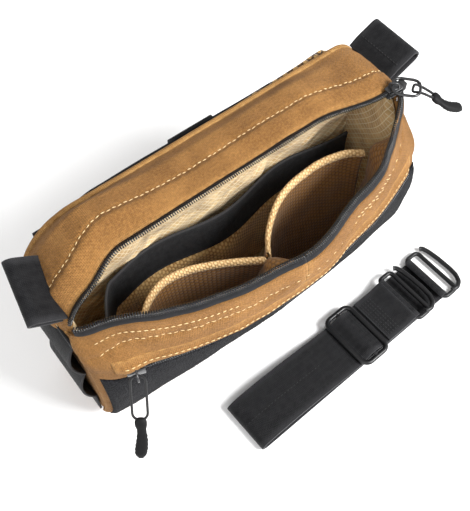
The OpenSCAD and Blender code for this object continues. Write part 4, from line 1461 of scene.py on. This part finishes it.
def tri_glide():
    frame_z = middle("tri_glide_frame").z
    points = loop_points(23.5 * MM, 43.5 * MM, 5.5 * MM, 6)
    at = STRAP_AT @ Matrix.Translation((GLIDE_X - 11.75 * MM, 0, frame_z))
    frame_rod = rod("glide", points, 1.9 * MM, CAST, closed=True, round_by=4)
    for vert in frame_rod.data.vertices:
        vert.co.z *= 0.85
        vert.co = at @ vert.co
    settle(frame_rod, "tri_glide", "cast_hardware", "tri_glide_frame")
    bar = rod("glide_middle_bar", [STRAP_AT @ Vector((GLIDE_X, y * MM, frame_z)) for y in (-21, -10, 0, 10,
                                                                                           21)],
              1.6 * MM, CAST, round_by=4)
    settle(bar, "tri_glide", "cast_hardware", "tri_glide_bar")
    over = polyline([Vector((GLIDE_X + x * MM, 0, frame_z + z * MM)) for x, z in
                     ((-9.3, -1.6), (-7, -0.4), (-4.2, 1.6), (-1.8, 2.5), (0, 2.7), (1.8, 2.5), (4.2, 1.6),
                      (7, -0.4), (9.3, -1.6))])
    wrap = ribbon("glide_webbing", lambda t: STRAP_AT @ over(t), STRAP_ACROSS, WEB_W - 1 * MM, WEBBING,
                  cells=(40, 8))
    settle(wrap, "tri_glide", "black_webbing", "bar_wrap")


def hook(name, body, bar, node):
    """A G-shaped hook: a webbing slot, and a curved arm that is open at its rear end."""
    half = extent(node).y / 2 - 2.6 * MM
    frame_pts = loop_points(12.5 * MM, 2 * half, 3.2 * MM, 4)
    slot = rod("slot", [STRAP_AT @ (bar + p) for p in frame_pts], 1.75 * MM, CAST, closed=True, round_by=4)
    arm = [(9, -half / MM + 1), (14, -half / MM + 0.2), (18.5, -half / MM + 2.6), (21, -half / MM + 8),
           (21.6, -6),
           (21.2, 6), (20.2, half / MM - 6), (18.6, half / MM - 0.5), (16.8, half / MM + 0.6)]
    smoothed = polyline([Vector((x * MM, y * MM, 0)) for x, y in arm])
    far = rod("arm", [STRAP_AT @ (bar + p) for p in trace(smoothed, 60)], 1.9 * MM, CAST, round_by=4)
    settle(join(name, [slot, far]), body, "cast_hardware", node)


def zip_stop():
    """Folded tape end behind the closed end of the main zipper."""
    low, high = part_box("zip_end_right")
    bm = bmesh.new()
    slab(bm, high - low, (low + high) / 2, 0.8 * MM)
    settle(as_object("zip_end_tab", bm, TAPE_END), "pack", "zipper_tape", "zip_end_right")


TAPE_END = moulded("Tape end", 30, 0.8, 0.5 * MM, 0.08 * MM)


# ---- Scene
def room():
    bm = bmesh.new()
    bmesh.ops.create_grid(bm, x_segments=2, y_segments=2, size=6.0)
    finish = Finish("Floor", roughness=0.9)
    finish.colour(finish.mix(finish.cloud(finish.place(), 0.4), tint(250, 250, 250), tint(252, 252, 252)))
    floor = as_object("floor", bm, finish.material)
    world = bpy.data.worlds.new("Studio")
    world.use_nodes = True
    world.node_tree.nodes["Background"].inputs["Color"].default_value = (1.0, 1.0, 1.0, 1.0)
    world.node_tree.nodes["Background"].inputs["Strength"].default_value = 0.72
    bpy.context.scene.world = world
    bpy.context.scene.view_settings.view_transform = "Standard"

    def lamp(name, at, aim, size, power):
        light = bpy.data.lights.new(name, "AREA")
        light.size = size
        light.energy = power
        holder = bpy.data.objects.new(name, light)
        holder.location = at
        holder.rotation_mode = "QUATERNION"
        holder.rotation_quaternion = (Vector(aim) - Vector(at)).to_track_quat("-Z", "Y")
        bpy.context.scene.collection.objects.link(holder)
    lamp("key_light", (0.42, -0.72, 0.85), (0, 0, 0.1), 0.45, 24)
    lamp("fill_light", (-0.7, -0.5, 0.8), (0, 0, 0.08), 0.9, 5)


def camera():
    target = Vector((0, 0, 0.068))
    azimuth, elevation, distance = math.radians(-38), math.radians(60), 0.520
    back = Vector((math.sin(azimuth) * math.cos(elevation), -math.cos(azimuth) * math.cos(elevation),
                   math.sin(elevation)))
    data = bpy.data.cameras.new("camera")
    data.lens = 53.12
    data.sensor_width = 36
    data.sensor_fit = "AUTO"
    holder = bpy.data.objects.new("camera", data)
    holder.location = target + back * distance
    holder.rotation_mode = "QUATERNION"
    holder.rotation_quaternion = (-back).to_track_quat("-Z", "Y")
    bpy.context.scene.collection.objects.link(holder)
    bpy.context.scene.camera = holder


camera()
room()
canvas_walls()
back_panel()
halves("front_canvas", front_canvas, "coyote_canvas", "front_panel")
front_stitching()
front_zipper()
rear_zipper()
front_pocket()
front_lining()
slip_pockets()
organiser()
rear_lining()
wrap_lining()
back_pad()
side_webbing()
side_tabs()
rear_strap()
main_pull()
pocket_pull()
harness_strap()
tri_glide()
hook("upper_hook_casting", "upper_hook", UPPER_BAR, "upper_hook")
hook("lower_hook_casting", "lower_hook", LOWER_BAR, "lower_hook")
zip_stop()
